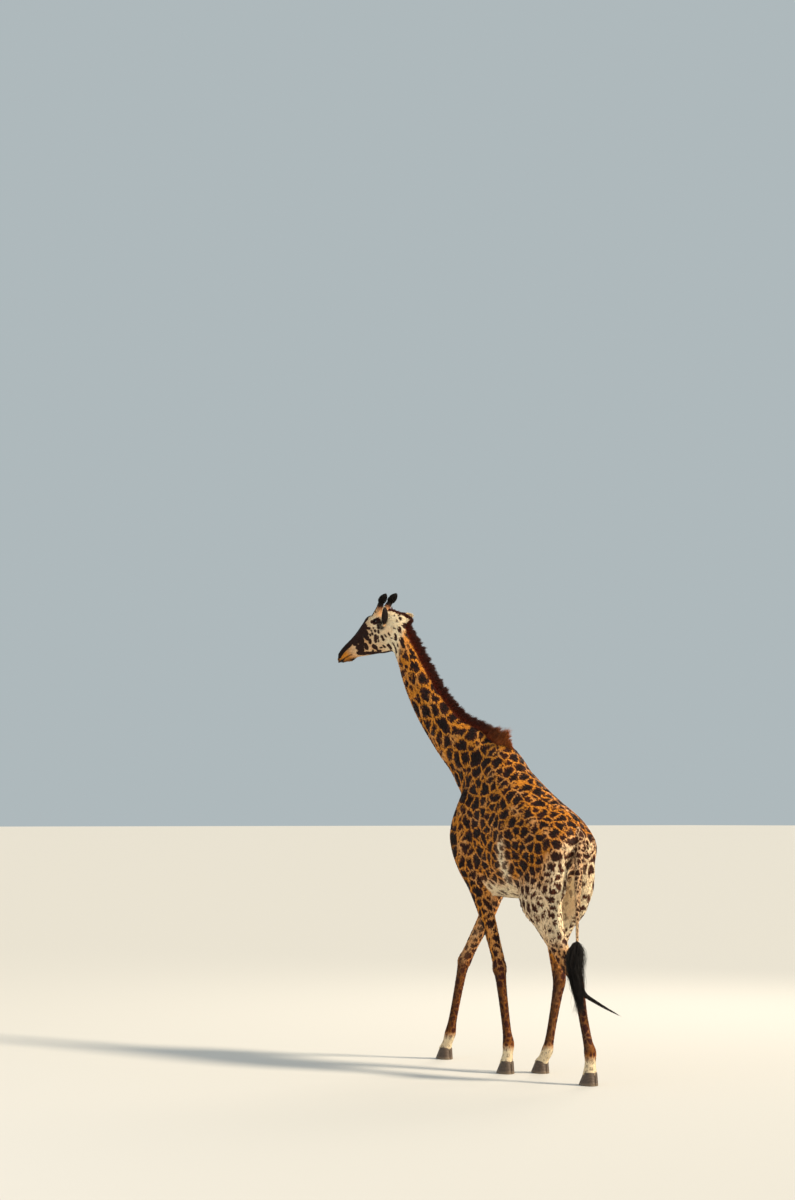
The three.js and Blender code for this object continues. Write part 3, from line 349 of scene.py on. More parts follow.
BODIES = {
    "trunk": Flesh(TRUNK, level(TRUNK), crest=1.75, keel=2.15, blend=40, lie=-1),
    "neck": Flesh(NECK, [turned(d) for d in NECK_TURN], crest=1.9, keel=2.1, blend=120, lie=-1),
    "head": Flesh([[*on_head([a, 0, rise]), *reach] for a, rise, *reach in HEAD],
                  [HEAD_AXES[1]] * len(HEAD), crest=2.3, keel=2.1, blend=40, lie=-1),
    **{name: Flesh(rows, level(rows), blend=LEG_BLEND[name[:4]]) for name, rows in LEGS.items()},
    "tail": Flesh(TAIL, level(TAIL), blend=26),
    **{name: horn_flesh(side) for name, side in zip(HORNS, SIDES.values())},
}


def join(a, b, k):
    """Smooth union of two distances."""
    near = np.maximum(k - np.abs(a - b), 0) / k
    return np.minimum(a, b) - near * near * k * 0.25


def lump_depth(places, middle, reach):
    """Signed distance to a smooth lump on the head."""
    q = places - np.asarray(middle, float)
    reach = np.asarray(reach, float)
    outer = away(q / reach)
    return outer * (outer - 1) / np.maximum(away(q / reach**2), 1e-6)


def relief(points, lines):
    """How far folds, bones and muscles rise at each point."""
    rise = np.zeros(len(points))
    for start, end, reach, height in lines:
        way = np.subtract(end, start).astype(float)
        t = np.clip((points - start) @ way / (way @ way), 0, 1)
        gap = ((points - start - t[:, None] * way) ** 2).sum(1)
        rise += height * np.exp(-gap / reach**2)
    return rise


def rib_relief(points):
    """The faint waves of the ribs on the side of the barrel."""
    rise = np.zeros(len(points))
    for y in RIBS:
        rise += bell((points[:, 1] - y - (points[:, 2] - RIB_LEVEL) * RIB_SLANT) / RIB_REACH)
    return RIB_RISE * rise * ramp(points[:, 2], 1640, 1780) * fall(points[:, 2], 2180, 2330)


def groove(angle, at, width):
    """A shallow groove along both sides of a run of flesh."""
    return bell((np.sin(angle) - at) / width)


def grooved(name, body, points):
    """Signed distance to one run of flesh, with the grooves of its tendons or windpipe."""
    distance, _, _, _, angle = body.look(points)
    if name == "neck":
        distance = distance + NECK_GROOVE * groove(angle, NECK_GROOVE_AT, NECK_GROOVE_WIDTH)
    if name in LEGS:
        shank = ramp(points[:, 2], 280, 360) * fall(points[:, 2], 700, 800)
        distance = distance + TENDON_GROOVE * groove(angle, TENDON_AT, TENDON_WIDTH) * shank
    return distance


def hide(points, only=None):
    """Signed distance to the animal's flesh, with its relief, brows, cheeks and lids."""
    d = np.full(len(points), 1e3)
    for name, body in BODIES.items():
        if only and name not in only:
            continue
        inside = np.all((points > body.low) & (points < body.high), axis=1)
        if inside.any():
            d[inside] = join(d[inside], grooved(name, body, points[inside]), body.blend)
    if only is None or "head" in only:
        places = head_places(points)
        near = away(places - FACE_MIDDLE) < FACE_REACH
        if near.any():
            some = both_sides(places[near])
            own = join(d[near], lump_depth(some, *BROW), BROW_BLEND)
            own = join(own, lump_depth(some, *CHEEK), CHEEK_BLEND)
            d[near] = join(own, away(some - EYE) - EYE_RADIUS - LID_THICKNESS, LID_BLEND)
    close = np.nonzero(np.abs(d) < RELIEF_MARGIN)[0]
    some = both_sides(points[close], 0)
    low = some[:, 2] < TRUNK_TOP
    d[close[low]] -= relief(some[low], RELIEF) + rib_relief(some[low])
    d[close[~low]] -= relief(both_sides(head_places(points[close[~low]])), FACE_RELIEF)
    return d


# ---------------------------------------------------------------- meshes
def shift_of_frame():
    """Where the animal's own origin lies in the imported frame, in metres."""
    low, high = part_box("eye_left")
    return np.array((low + high) / 2) - on_head([EYE])[0] / 1000


SHIFT = shift_of_frame()


def to_world(points):
    """Points of the animal, in millimetres, as metres in the frame."""
    return points / 1000 + SHIFT


def keep_points(data, points):
    """Gives a mesh its points, in millimetres."""
    data.vertices.foreach_set("co", to_world(points).astype(np.float32).ravel())
    data.update()


def keep_values(data, values):
    """Keeps numbers or vectors at a mesh's points, for its finish to read."""
    for key, value in values.items():
        vector = value.ndim == 2
        layer = data.attributes.new(key, "FLOAT_VECTOR" if vector else "FLOAT", "POINT")
        layer.data.foreach_set("vector" if vector else "value", value.astype(np.float32).ravel())


def fill_mesh(name, points, faces, values=None, patches=None):
    """A mesh from arrays: points in millimetres, faces of three, values kept at the points."""
    data = bpy.data.meshes.new(name)
    data.vertices.add(len(points))
    data.vertices.foreach_set("co", to_world(points).astype(np.float32).ravel())
    data.loops.add(faces.size)
    data.loops.foreach_set("vertex_index", faces.astype(np.int32).ravel())
    data.polygons.add(len(faces))
    data.polygons.foreach_set("loop_start", np.arange(0, faces.size, faces.shape[1], dtype=np.int32))
    data.update(calc_edges=True)
    data.polygons.foreach_set("use_smooth", np.ones(len(faces), bool))
    keep_values(data, values or {})
    if patches is not None:
        layer = data.uv_layers.new(name="OFBake")
        layer.data.foreach_set("uv", patches[faces.ravel()].astype(np.float32).ravel())
    return data


def linked(name, data):
    """An object in the scene with its data."""
    made = bpy.data.objects.new(name, data)
    bpy.context.scene.collection.objects.link(made)
    return made


def place(name, data, finish, nodes):
    """Puts one piece into the scene, riding on the body, for the CAD nodes it stands for."""
    piece = linked(name, data)
    data.materials.append(finish)
    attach(piece, "root")
    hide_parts(*nodes)


def loft(rings):
    """Points and faces of three of a closed form from rings, with a flat or pointed end each."""
    rows, count = rings.shape[:2]
    points = np.vstack([rings.reshape(-1, 3), rings[0].mean(0), rings[-1].mean(0)])
    i, j = np.meshgrid(np.arange(rows - 1), np.arange(count), indexing="ij")
    a, b = i * count + j, i * count + (j + 1) % count
    walls = np.stack([np.stack([a, b, b + count], -1), np.stack([a, b + count, a + count], -1)])
    k, last = np.arange(count), (rows - 1) * count
    foot = np.stack([np.full(count, rows * count), (k + 1) % count, k], -1)
    top = np.stack([np.full(count, rows * count + 1), last + k, last + (k + 1) % count], -1)
    return points, np.vstack([walls.reshape(-1, 3), foot, top])


def normals_of(points, faces):
    """Normal at each point of a mesh of triangles."""
    a, b, c = (points[faces[:, k]] for k in range(3))
    flat = np.cross(b - a, c - a)
    total = np.zeros_like(points)
    for k in range(3):
        for axis in range(3):
            total[:, axis] += np.bincount(faces[:, k], flat[:, axis], len(points))
    return unit(total)


def eased(points, edges, share):
    """Points moved towards the middle of their neighbours."""
    total = np.zeros_like(points)
    count = np.bincount(edges.ravel(), minlength=len(points))[:, None]
    for a, b in ((0, 1), (1, 0)):
        for axis in range(3):
            total[:, axis] += np.bincount(edges[:, a], points[edges[:, b], axis], len(points))
    return mix(points, total / np.maximum(count, 1), share)


def triangles_and_edges(data):
    """Triangles and edges of a mesh as arrays."""
    data.calc_loop_triangles()
    faces = np.empty(len(data.loop_triangles) * 3, np.int32)
    data.loop_triangles.foreach_get("vertices", faces)
    edges = np.empty(len(data.edges) * 2, np.int32)
    data.edges.foreach_get("vertices", edges)
    return faces.reshape(-1, 3), edges.reshape(-1, 2)


def points_of(data):
    """Points of a mesh in millimetres."""
    points = np.empty(len(data.vertices) * 3, np.float32)
    data.vertices.foreach_get("co", points)
    return (points.reshape(-1, 3).astype(float) - SHIFT) * 1000


# ---------------------------------------------------------------- the skin
SETTLE_SHARE, SETTLE_MOST = 0.9, 12  # how much of its way a point moves in a round, and how far


def grid_depths(low, cells):
    """Depth of the flesh on an even grid, worked out closely only near its surface."""
    near = None
    for size in (4, 2, 1):
        count = cells // size + 1
        at = np.indices(count).reshape(3, -1).T * (size * SKIN_VOXEL) + low
        if near is None:
            depth = hide(at)
        else:
            for axis in range(3):
                near = np.repeat(near, 2, axis=axis).take(range(count[axis]), axis=axis)
            depth = near.ravel()
            close = np.abs(depth) < (2.0 if size > 1 else 1.4) * 2 * size * SKIN_VOXEL
            depth[close] = hide(at[close])
        near = depth.reshape(count)
    return near + COAT_DEPTH


def crossings(depth, cells):
    """Middle of the places where the surface crosses the edges of each cell."""
    total, count = np.zeros((len(cells), 3)), np.zeros(len(cells))
    for axis in range(3):
        step = np.eye(3, dtype=int)[axis]
        others = [k for k in range(3) if k != axis]
        for corner in ((0, 0), (0, 1), (1, 0), (1, 1)):
            start = cells.copy()
            start[:, others] += corner
            a, b = depth[tuple(start.T)], depth[tuple((start + step).T)]
            cut = (a < 0) != (b < 0)
            total[cut] += start[cut] + step * (a[cut] / (a[cut] - b[cut]))[:, None]
            count += cut
    return total / count[:, None]


def nets(depth, low):
    """A mesh of even squares where a grid of depths passes through zero."""
    inside = depth < 0
    corners = sum(inside[i : i - 1 or None, j : j - 1 or None, k : k - 1 or None].astype(np.int8)
                  for i in (0, 1) for j in (0, 1) for k in (0, 1))
    cells = np.argwhere((corners > 0) & (corners < 8))
    number = np.full(corners.shape, -1, np.int64)
    number[tuple(cells.T)] = np.arange(len(cells))
    faces = []
    for axis in range(3):
        u, v = (np.eye(3, dtype=int)[(axis + k) % 3] for k in (1, 2))
        edges = np.argwhere(np.diff(inside, axis=axis))
        edges = edges[np.all(edges - u - v >= 0, axis=1) & np.all(edges < corners.shape, axis=1)]
        around = [number[tuple((edges - back).T)] for back in (u + v, v, 0 * u, u)]
        quads = np.stack(around, -1)
        outward = inside[tuple(edges.T)]
        faces.append(np.where(outward[:, None], quads, quads[:, ::-1]))
    return low + crossings(depth, cells) * SKIN_VOXEL, np.vstack(faces)


def settle(data, rounds, ease, near=None):
    """Moves a mesh's points, or those near a place, on to the flesh less the coat's depth."""
    faces, edges = triangles_and_edges(data)
    points = points_of(data)
    chosen = np.nonzero(near(points))[0] if near else np.arange(len(points))
    for i in range(rounds):
        if i < rounds - 1:
            points[chosen] = eased(points, edges, ease)[chosen]
        depth = hide(points[chosen]) + COAT_DEPTH
        move = np.clip(depth * SETTLE_SHARE, -SETTLE_MOST, SETTLE_MOST)
        points[chosen] -= normals_of(points, faces)[chosen] * move[:, None]
    keep_points(data, points)


def finer(data, near):
    """Splits in four the squares whose points are all near."""
    mesh = bmesh.new()
    mesh.from_mesh(data)
    chosen = set(np.nonzero(near)[0].tolist())
    edges = [e for e in mesh.edges if e.verts[0].index in chosen and e.verts[1].index in chosen]
    bmesh.ops.subdivide_edges(mesh, edges=edges, cuts=1, use_grid_fill=True)
    bmesh.ops.triangulate(mesh, faces=[f for f in mesh.faces if len(f.verts) > 4])
    mesh.to_mesh(data)
    mesh.free()


def face_detail(points):
    """Where the face needs its finest squares: round the eyes, nostrils and mouth."""
    some = both_sides(head_places(points))
    eye = away(some - EYE) < 52
    nose = away(some - NOSTRIL) < 36
    mouth = (np.abs(some[:, 2] - mouth_line(some[:, 0])) < 18) & (some[:, 0] > MOUTH_FROM - 20)
    return eye | nose | mouth


def all_head(points):
    """Where the skin is on the head."""
    places = head_places(points)
    return (places[:, 0] > -60) & (np.abs(places[:, 1]) < 160)


def mouth_line(along):
    """Height of the parting of the lips."""
    return MOUTH_UP - 12 * ramp(along, 560, 645) - 5 * fall(along, MOUTH_FROM, MOUTH_FROM + 30)


def eye_edge(places):
    """How far each place lies within the edge of the opening between the lids."""
    along, up = places[:, 0] - EYE[0], places[:, 2] - EYE[2]
    arch = np.maximum(1 - (along / EYE_OPEN_LONG) ** 2, -0.6)
    open_by = np.where(up > 0, EYE_OPEN_HIGH, EYE_OPEN_LOW) * arch
    return np.where(places[:, 1] > EYE[1] - 4, open_by - np.abs(up), -40)


def nostril_edge(places):
    """How near each place is to the slanting slit of the nostril: 0 in it, 1 at its rim."""
    along, up = places[:, 0] - NOSTRIL[0], places[:, 2] - NOSTRIL[2]
    slant = along * 0.82 - up * 0.57
    across = along * 0.57 + up * 0.82
    bow = across - 5 * (1 - (slant / NOSTRIL_LONG) ** 2)
    flat = np.where(places[:, 1] > 18, 0, 9)
    return np.hypot(slant / NOSTRIL_LONG, bow / NOSTRIL_HIGH) + flat


def carved(data):
    """Opens the lids, sinks the nostrils and parts the lips."""
    faces, _ = triangles_and_edges(data)
    points = points_of(data)
    chosen = np.nonzero(face_detail(points))[0]
    places = both_sides(head_places(points[chosen]))
    edge = eye_edge(places)
    rim = 1.8 * bell((edge + 4) / 2.6) - 1.7 * bell((edge + 11) / 2.4) * (places[:, 2] > EYE[2])
    rim *= places[:, 1] > EYE[1] - 4
    nose = nostril_edge(places)
    rim += 2.4 * bell((nose - 1.5) / 0.45) - NOSTRIL_DEEP * fall(nose, 0.45, 1.15)
    part = (places[:, 2] - mouth_line(places[:, 0])) / 2.6
    run = ramp(places[:, 0], MOUTH_FROM - 12, MOUTH_FROM + 24)
    rim -= MOUTH_DEEP * bell(part) * run
    points[chosen] += normals_of(points, faces)[chosen] * rim[:, None]
    side = head_places(points[chosen])[:, 1:2]
    sink = np.maximum(np.abs(side[:, 0]) - EYE[1] - 7, 0) * ramp(edge, -1.0, 2.2)
    points[chosen] -= HEAD_AXES[1] * np.sign(side) * sink[:, None]
    keep_points(data, points)


def made_skin():
    """The skin: even squares, finer on the head and finest round its features."""
    low = np.min([body.low + body.blend for body in BODIES.values()], axis=0)
    high = np.max([body.high - body.blend for body in BODIES.values()], axis=0)
    cells = np.ceil((high - low) / SKIN_VOXEL / 4).astype(int) * 4
    data = fill_mesh("skin", *nets(grid_depths(low, cells), low))
    settle(data, 3, 0.5)
    for near in (all_head, face_detail):
        finer(data, near(points_of(data)))
        settle(data, 3, 0.3, near)
    carved(data)
    return data


# ---------------------------------------------------------------- markings and lie of the coat
# Middle to middle of the patches across and along each run of flesh, from its first station
# to its last, in millimetres.
HIND_SPACING = [[84, 84], [76, 78], [66, 70], [56, 62], [46, 54], [40, 48], [36, 44]]
FORE_SPACING = [[104, 112], [92, 100], [74, 86], [60, 72], [48, 58], [42, 50], [36, 44]]
PATCH_SPACING = {
    "trunk": [[84, 80], [88, 84], [92, 90], [96, 98], [104, 110], [110, 118]],
    "neck": [[112, 122], [110, 140], [108, 146], [98, 136], [88, 116], [74, 94]],
    "head": [[60, 70], [50, 56], [46, 50], [42, 46], [40, 44]],
    "hind_left": HIND_SPACING, "hind_right": HIND_SPACING,
    "fore_left": FORE_SPACING, "fore_right": FORE_SPACING,
    "tail": [[84, 84], [44, 48], [30, 34], [26, 30]],
    **dict.fromkeys(HORNS, [[30, 34], [30, 34]]),
}
GROWS_FROM = {"trunk": None, "neck": "trunk", "head": "neck", **dict.fromkeys(LEGS, "trunk"),
              "tail": "trunk", **dict.fromkeys(HORNS, "head")}
COAT_BLEND = 22  # how softly the coats of two runs of flesh pass into each other
HAIR_STRETCH = 7  # a hair's streak is this much longer than wide


def lay_out(body, start, across, along):
    """Where the centre line runs when lengths along it count 1/along and across it 1/across."""
    step = np.linalg.norm(np.diff(body.at, axis=0), axis=1, keepdims=True)
    pace = (1 / along[:-1] + 1 / along[1:])[:, None] / 2
    line = start + np.vstack([np.zeros(3), np.cumsum(body.along[:-1] * step * pace, axis=0)])
    return line, 1 / across


def lay_out_all(spacing):
    """The laid-out centre lines of all the bodies, each joined on where it grows."""
    laid = {}
    for name, parent in GROWS_FROM.items():
        body = BODIES[name]
        pace = read_rows(spacing[name], np.linspace(0, 1, len(body.at)))
        start = body.at[0] / pace[0, 0]
        if parent:
            _, i, part, off, _ = BODIES[parent].look(body.at[:1])
            line, scale = laid[parent]
            start = between(line, i, part[:, None])[0] + off[0] * scale[i]
        laid[name] = lay_out(body, start, pace[:, 0], pace[:, 1])
    return laid


PATCH_MAP = lay_out_all(PATCH_SPACING)
HAIR_MAP = lay_out_all({name: [[1, HAIR_STRETCH]] * 2 for name in BODIES})
ATLAS = {  # where each run of flesh lies on the unwrapped skin: low corner and size
    "trunk": (0.01, 0.01, 0.32, 0.48), "neck": (0.34, 0.01, 0.3, 0.48), "head": (0.65, 0.01, 0.34, 0.3),
    "hind_left": (0.01, 0.51, 0.2, 0.48), "hind_right": (0.22, 0.51, 0.2, 0.48),
    "fore_left": (0.43, 0.51, 0.2, 0.48), "fore_right": (0.64, 0.51, 0.2, 0.48),
    "tail": (0.86, 0.51, 0.06, 0.48), "horn_left": (0.65, 0.33, 0.12, 0.15),
    "horn_right": (0.8, 0.33, 0.12, 0.15),
}


def survey(points):
    """For each point: the flesh that it lies on, the lie of its coat and its laid-out places."""
    count = len(points)
    found = {key: np.zeros(count) for key in ("share", "angle", "spacing", "across")}
    found |= {key: np.zeros((count, 3)) for key in ("patch", "hair", "lie")}
    found |= {"nearest": np.full(count, 1e3), "body": np.full(count, -1),
              "unwrap": np.zeros((count, 2))}
    weight = np.zeros(count)
    depth = {}
    for number, (name, body) in enumerate(BODIES.items()):
        inside = np.nonzero(np.all((points > body.low) & (points < body.high), axis=1))[0]
        if len(inside):
            depth[name] = (inside, *body.look(points[inside]))
            better = depth[name][1] < found["nearest"][inside]
            found["nearest"][inside[better]] = depth[name][1][better]
            found["body"][inside[better]] = number
    for number, (name, body) in enumerate(BODIES.items()):
        if name not in depth:
            continue
        inside, d, i, part, off, angle = depth[name]
        share = (i + part) / (len(body.at) - 1)
        own = np.exp(-np.maximum(d - found["nearest"][inside], 0) / COAT_BLEND)
        weight[inside] += own
        along = between(body.along, i, part[:, None]) * body.lie
        found["lie"][inside] += along * own[:, None]
        for key, laid in (("patch", PATCH_MAP), ("hair", HAIR_MAP)):
            line, scale = laid[name]
            pace = between(scale, i, part)
            spot = between(line, i, part[:, None]) + off * pace[:, None]
            found[key][inside] += spot * own[:, None]
            if key == "patch":
                found["spacing"][inside] += own / pace
        mine = found["body"][inside] == number
        x, y, w, h = ATLAS[name]
        found["share"][inside[mine]] = share[mine]
        found["angle"][inside[mine]] = angle[mine]
        found["across"][inside[mine]] = dots(off, between(body.side, i, part[:, None]))[mine, 0]
        spot = np.stack([x + w * (angle / (2 * math.pi) + 0.5), y + h * share], -1)
        found["unwrap"][inside[mine]] = spot[mine]
    weight = np.maximum(weight, 1e-9)
    for key in ("patch", "hair"):
        found[key] /= weight[:, None]
    found["spacing"] /= weight
    found["lie"] = unit(found["lie"])
    return found


def lies_on(body, names):
    """Whether the run of flesh of each point is one of those named."""
    return np.isin(body, [list(BODIES).index(name) for name in names])


def waves(points, length, seed, count=16):
    """Smooth random value, mostly between -1 and 1, with hills about so long."""
    draw = np.random.default_rng(seed)
    way = unit(draw.normal(size=(count, 3)))
    way = way * (2 * math.pi / length * draw.uniform(0.6, 1.5, (count, 1)))
    hills = np.sin(points @ way.T + draw.uniform(0, 2 * math.pi, count)).sum(1)
    return hills * math.sqrt(2 / count) * 0.7


FACE_MARKS = [  # dark marks of the face: two ends, along and up from its axis, and a half width
    [250, 112, 520, 42, 38], [520, 42, 606, 2, 34], [294, 104, 252, 44, 28], [285, 59, 262, 4, 24],
    [359, 86, 340, 22, 42], [334, 50, 345, -12, 31], [347, 0, 370, -60, 26],
    [393, -18, 396, -66, 22], [428, -70, 372, -98, 18], [384, 80, 404, 30, 34],
    [348, -106, 245, -160, 17], [245, -166, 120, -204, 14], [264, 112, 198, 68, 13],
    [315, -42, 320, -66, 23], [248, -24, 258, -42, 18], [172, -22, 196, -60, 18],
    [148, -32, 168, -74, 9], [243, -90, 229, -106, 23], [116, -50, 114, -84, 13],
    [83, -52, 79, -70, 9], [44, -54, 43, -76, 8], [-6, -94, 11, -134, 14], [56, -150, 52, -176, 9],
    [53, -196, 69, -240, 13], [102, -150, 103, -176, 17], [188, -130, 172, -138, 9],
    [146, -132, 143, -145, 12], [233, -137, 226, -145, 14], [-63, -58, -56, -80, 17],
    [-108, -48, -112, -68, 20], [-70, 18, -68, 8, 11], [-103, 25, -106, 12, 11],
    [-99, 57, -100, 50, 9], [-66, 69, -66, 65, 7], [-19, -31, -17, -38, 7],
    [-104, -128, -114, -162, 26], [-111, -172, -115, -198, 19], [-36, -152, -37, -188, 18],
    [-32, -196, -36, -228, 16], [160, 60, 161, 52, 8], [155, 27, 153, 19, 12],
    [193, 17, 191, 9, 11], [219, 20, 218, 10, 11], [108, 54, 114, 34, 12], [126, 8, 128, -6, 11],
    [191, 46, 187, 36, 8], [16, -248, 28, -282, 17], [417, -18, 416, -26, 9], [122, 96, 88, 96, 26],
    # [276, 138, 200, 168, 18], along the top edge of the forehead, is painted shade.
    [150, 112, 128, 100, 16], [276, 138, 200, 168, 18], [132, 160, 130, 166, 7],
    [102, 176, 100, 182, 7], [70, 168, 72, 174, 7], [50, 196, 50, 202, 7],
    [206, -150, 214, -158, 11], [276, -118, 286, -124, 11], [36, -112, 44, -104, 6],
    [12, -176, 16, -200, 8], [606, -80, 636, -76, 8],
]
THROAT = ([-129, 20], [314, 215])  # a point of the line where cream turns to orange, and its way out
MANE_RUST, NAPE_RUST = 40, 28  # half width of the red-brown band at the foot of the mane


def smudge(places, along, up, long, high):
    """A soft spot on the side of the face: 1 in its middle, fading to 0."""
    return np.exp(-(((places[:, 0] - along) / long) ** 2) - ((places[:, 2] - up) / high) ** 2)


def face_marks(places):
    """How far each place lies within the nearest dark mark of the face, in millimetres."""
    best = np.full(len(places), -30.0)
    spot = places[:, [0, 2]]
    for a, b, c, d, reach in FACE_MARKS:
        start, way = np.array([a, b], float), np.array([c - a, d - b], float)
        t = np.clip((spot - start) @ way / (way @ way), 0, 1)
        best = np.maximum(best, reach - away(spot - start - t[:, None] * way))
    return best


def before_throat(places):
    """How far each place lies on the face's side of the line down behind the jaw."""
    at, way = THROAT
    return (places[:, [0, 2]] - at) @ unit(np.array(way, float))


def leg_tones(points, angle, hind, side):
    """Pale, dark (lighter on the back of the leg, which is painted light), faint, line and rust of one
    leg, from its place round and along it.
    """
    z = points[:, 2]
    back = ramp(-np.sin(angle), 0.1, 0.95)
    inner = ramp(-np.cos(angle) * side, 0.1, 0.9)
    shank = fall(z, 760, 1060)
    if hind:
        creamy = np.maximum(fall(z, 1400, 1760) * 0.85, np.maximum(back, inner) * fall(z, 1700, 1980))
        pale = mix(mix(0.05, 0.95, creamy), 0.1, fall(z, 960, 1180))
        faint = ramp(0.6 * back + inner, 0.85, 1.35) * fall(z, 1650, 1850) * 0.9
    else:
        # The half share of pale on the back of the foreleg is painted light, where the key light falls.
        pale = mix(0.0, 0.28, np.maximum(back * 0.5, inner)) * ramp(z, 700, 1000)
        faint = inner * 0.3
    pastern = fall(z, 180, 265)
    # Darker shanks, a third less dark on the back of the leg: that lesser dark is painted light.
    dark_and_shade = mix(0.1, 0.68, shank) * ramp(z, 180, 280) * mix(1, 0.7, back) * fall(z, 1000, 1500)
    line = mix(mix(5.4, 7.5, creamy) if hind else 5.2 + 0 * z, 3.4, shank)
    rust = 0.55 * shank * (1 - pastern)
    return np.maximum(pale, pastern), dark_and_shade, np.maximum(faint, pastern), line, rust


def coat_tones(points, found):
    """How pale, how dark with its painted shade, how faint and red the coat is, its pale lines' width and
    the face's marks.
    """
    share, angle = found["share"], found["angle"]
    part = {name: found["body"] == number for number, name in enumerate(BODIES)}
    tones = {key: np.zeros(len(points)) for key in ("pale", "dark_and_shade", "faint", "rust", "face", "line")}
    tones["mark"] = np.full(len(points), -30.0)
    rough = waves(points, 160, 3)
    # Trunk: orange tan above, paling down the side to a cream belly, with a pale band of painted highlight
    # on the fold before the thigh.
    own = part["trunk"]
    _, y, z = points[own].T
    low = ramp(-np.sin(angle[own]), 0.55, 1)
    # Painted highlight: cream, with wider pale lines and fainter patches, on the edge of the barrel before
    # the thigh.
    painted_flank_light = bell((y - 5) / 62) * fall(z, 1880, 2030)
    belly = fall(z, 1500, 1650)
    rump = ramp(y, 540, 660) * fall(z, 1860, 2020)
    cream = np.maximum.reduce([low * 0.6, painted_flank_light * 0.95, belly, rump * 0.8])
    tones["pale"][own] = cream + 0.1 * rough[own]
    tones["line"][own] = mix(mix(5.4, 8.5, painted_flank_light), 11, np.maximum(low * 0.3, belly))
    tones["faint"][own] = np.maximum(belly * 0.35, painted_flank_light * 0.2)
    # Neck: orange tan, cream only behind the jaw, red-brown along the mane.
    own = part["neck"]
    places = both_sides(head_places(points[own]))
    before, up = before_throat(places), places[:, 2]
    tones["pale"][own] = ramp(before, -64, 20) * ramp(up, -400, -240) + 0.08 * rough[own]
    tones["line"][own] = mix(5.4, 7.4, ramp(share[own], 0.1, 0.35))
    near = np.abs(found["across"][own]) + 5 * rough[own]
    tones["rust"][own] = fall(near, MANE_RUST - 14, MANE_RUST) * (np.sin(angle[own]) > 0)
    tones["face"][own] = ramp(before, -96, -76) * ramp(up, -262, -240)
    tones["mark"][own] = face_marks(places)
    # Legs.
    for name in LEGS:
        own = part[name]
        values = leg_tones(points[own], angle[own], name.startswith("hind"), SIDES[name[5:]])
        for key, value in zip(("pale", "dark_and_shade", "faint", "line", "rust"), values):
            tones[key][own] = value
        tones["pale"][own] += 0.08 * rough[own]
    # Tail: cream at its edges, closely spotted.
    own = part["tail"]
    tones["pale"][own], tones["line"][own] = 0.55, 2.6
    # Head and horns.
    horns = part["horn_left"] | part["horn_right"]
    own = part["head"] | horns
    places = both_sides(head_places(points[own]))
    along, across, up = places.T
    muzzle = ramp(along, 470, 560)
    cheek = fall(along, 60, 330)
    tones["pale"][own] = mix(mix(0.45, 0.95, cheek), 0.0, muzzle) + 0.1 * rough[own]
    tones["face"][own] = 1
    tones["mark"][own] = face_marks(places)
    tones["line"][own] = 7
    # The first smudge, between the eye and the root of the ear, is painted shade; the second darkens the
    # side of the face further forward.
    grey = np.minimum(1.8 * smudge(places, 80, 42, 38, 44), 1) + smudge(places, 296, 30, 34, 34) * 0.6
    lips_and_parting_shade = ramp(along, 560, 645) * 0.72 + 0.6 * smudge(places, 560, -78, 60, 16)
    lips_and_parting_shade += 0.8 * smudge(places, 508, -96, 44, 15)
    # Painted shade along the parting of the lips, added to their own darker colour.
    parting = bell((up - mouth_line(along)) / 9)
    lips_and_parting_shade += 0.7 * parting * ramp(along, MOUTH_FROM - 10, MOUTH_FROM + 30)
    top = fall(across, 30, 56) * ramp(up, 60, 110) * ramp(along, 0, 70)
    stalk = ramp(share[own], 0.52, 0.7) * horns[own]
    front = ramp(-np.sin(angle[own]), 0.35, 0.8) * ramp(share[own], 0.0, 0.2) * 0.9
    stalk = np.maximum(stalk, front * horns[own])
    lids = bell(eye_edge(places) / 5.0) + ramp(eye_edge(places), -2, 1)
    # Painted shade in the hollow of the nostril.
    nostril_shade = fall(nostril_edge(places), 0.9, 1.5)
    tones["dark_and_shade"][own] = np.maximum.reduce([grey * 0.8, lips_and_parting_shade, top, stalk, np.minimum(lids, 1), nostril_shade])
    nape = fall(np.abs(across), NAPE_RUST - 12, NAPE_RUST) * fall(along, -30, 10) * (up > 40)
    tones["rust"][own] = np.maximum(nape, ramp(share[own], 0.4, 0.62) * horns[own] * 0.85)
    tones["pale"][own] *= 1 - 0.55 * ramp(share[own], 0.05, 0.4) * horns[own]
    tones["line"] /= np.maximum(found["spacing"], 1)
    return tones


def coat_values(points):
    """Everything that the coat's finish reads at each point, and the survey behind it."""
    found = survey(points)
    values = {"cell": found["patch"], "strand": found["hair"], **coat_tones(points, found)}
    return values, found


# ---------------------------------------------------------------- hair
BAKE_PATCH = 0.003  # size of one hair on the unwrapped skin


def blades(roots, normals, ways, long, wide, lift):
    """Short flat tufts: six points and eight faces each, thin, with a ridge on top."""
    across = unit(np.cross(ways, normals))
    way = unit(ways - dots(ways, normals) * normals)
    long, wide, lift = (v[:, None] for v in (long, wide, lift))
    base = roots - normals * 1.5
    middle = roots + way * long * 0.45
    points = np.stack([
        base - across * wide * 0.4, base + across * wide * 0.4,
        middle - across * wide * 0.5 + normals * lift * 0.3,
        middle + across * wide * 0.5 + normals * lift * 0.3,
        middle + normals * lift, roots + way * long + normals * lift * 0.8], 1)
    faces = np.array([[0, 1, 4], [0, 4, 2], [1, 3, 4], [2, 4, 5], [4, 3, 5], [2, 5, 3], [0, 2, 3],
                      [0, 3, 1]])
    spots = np.array([[-0.4, -0.5], [0.4, -0.5], [-0.5, 0], [0.5, 0], [0, 0], [0, 0.5]])
    return points, faces, spots


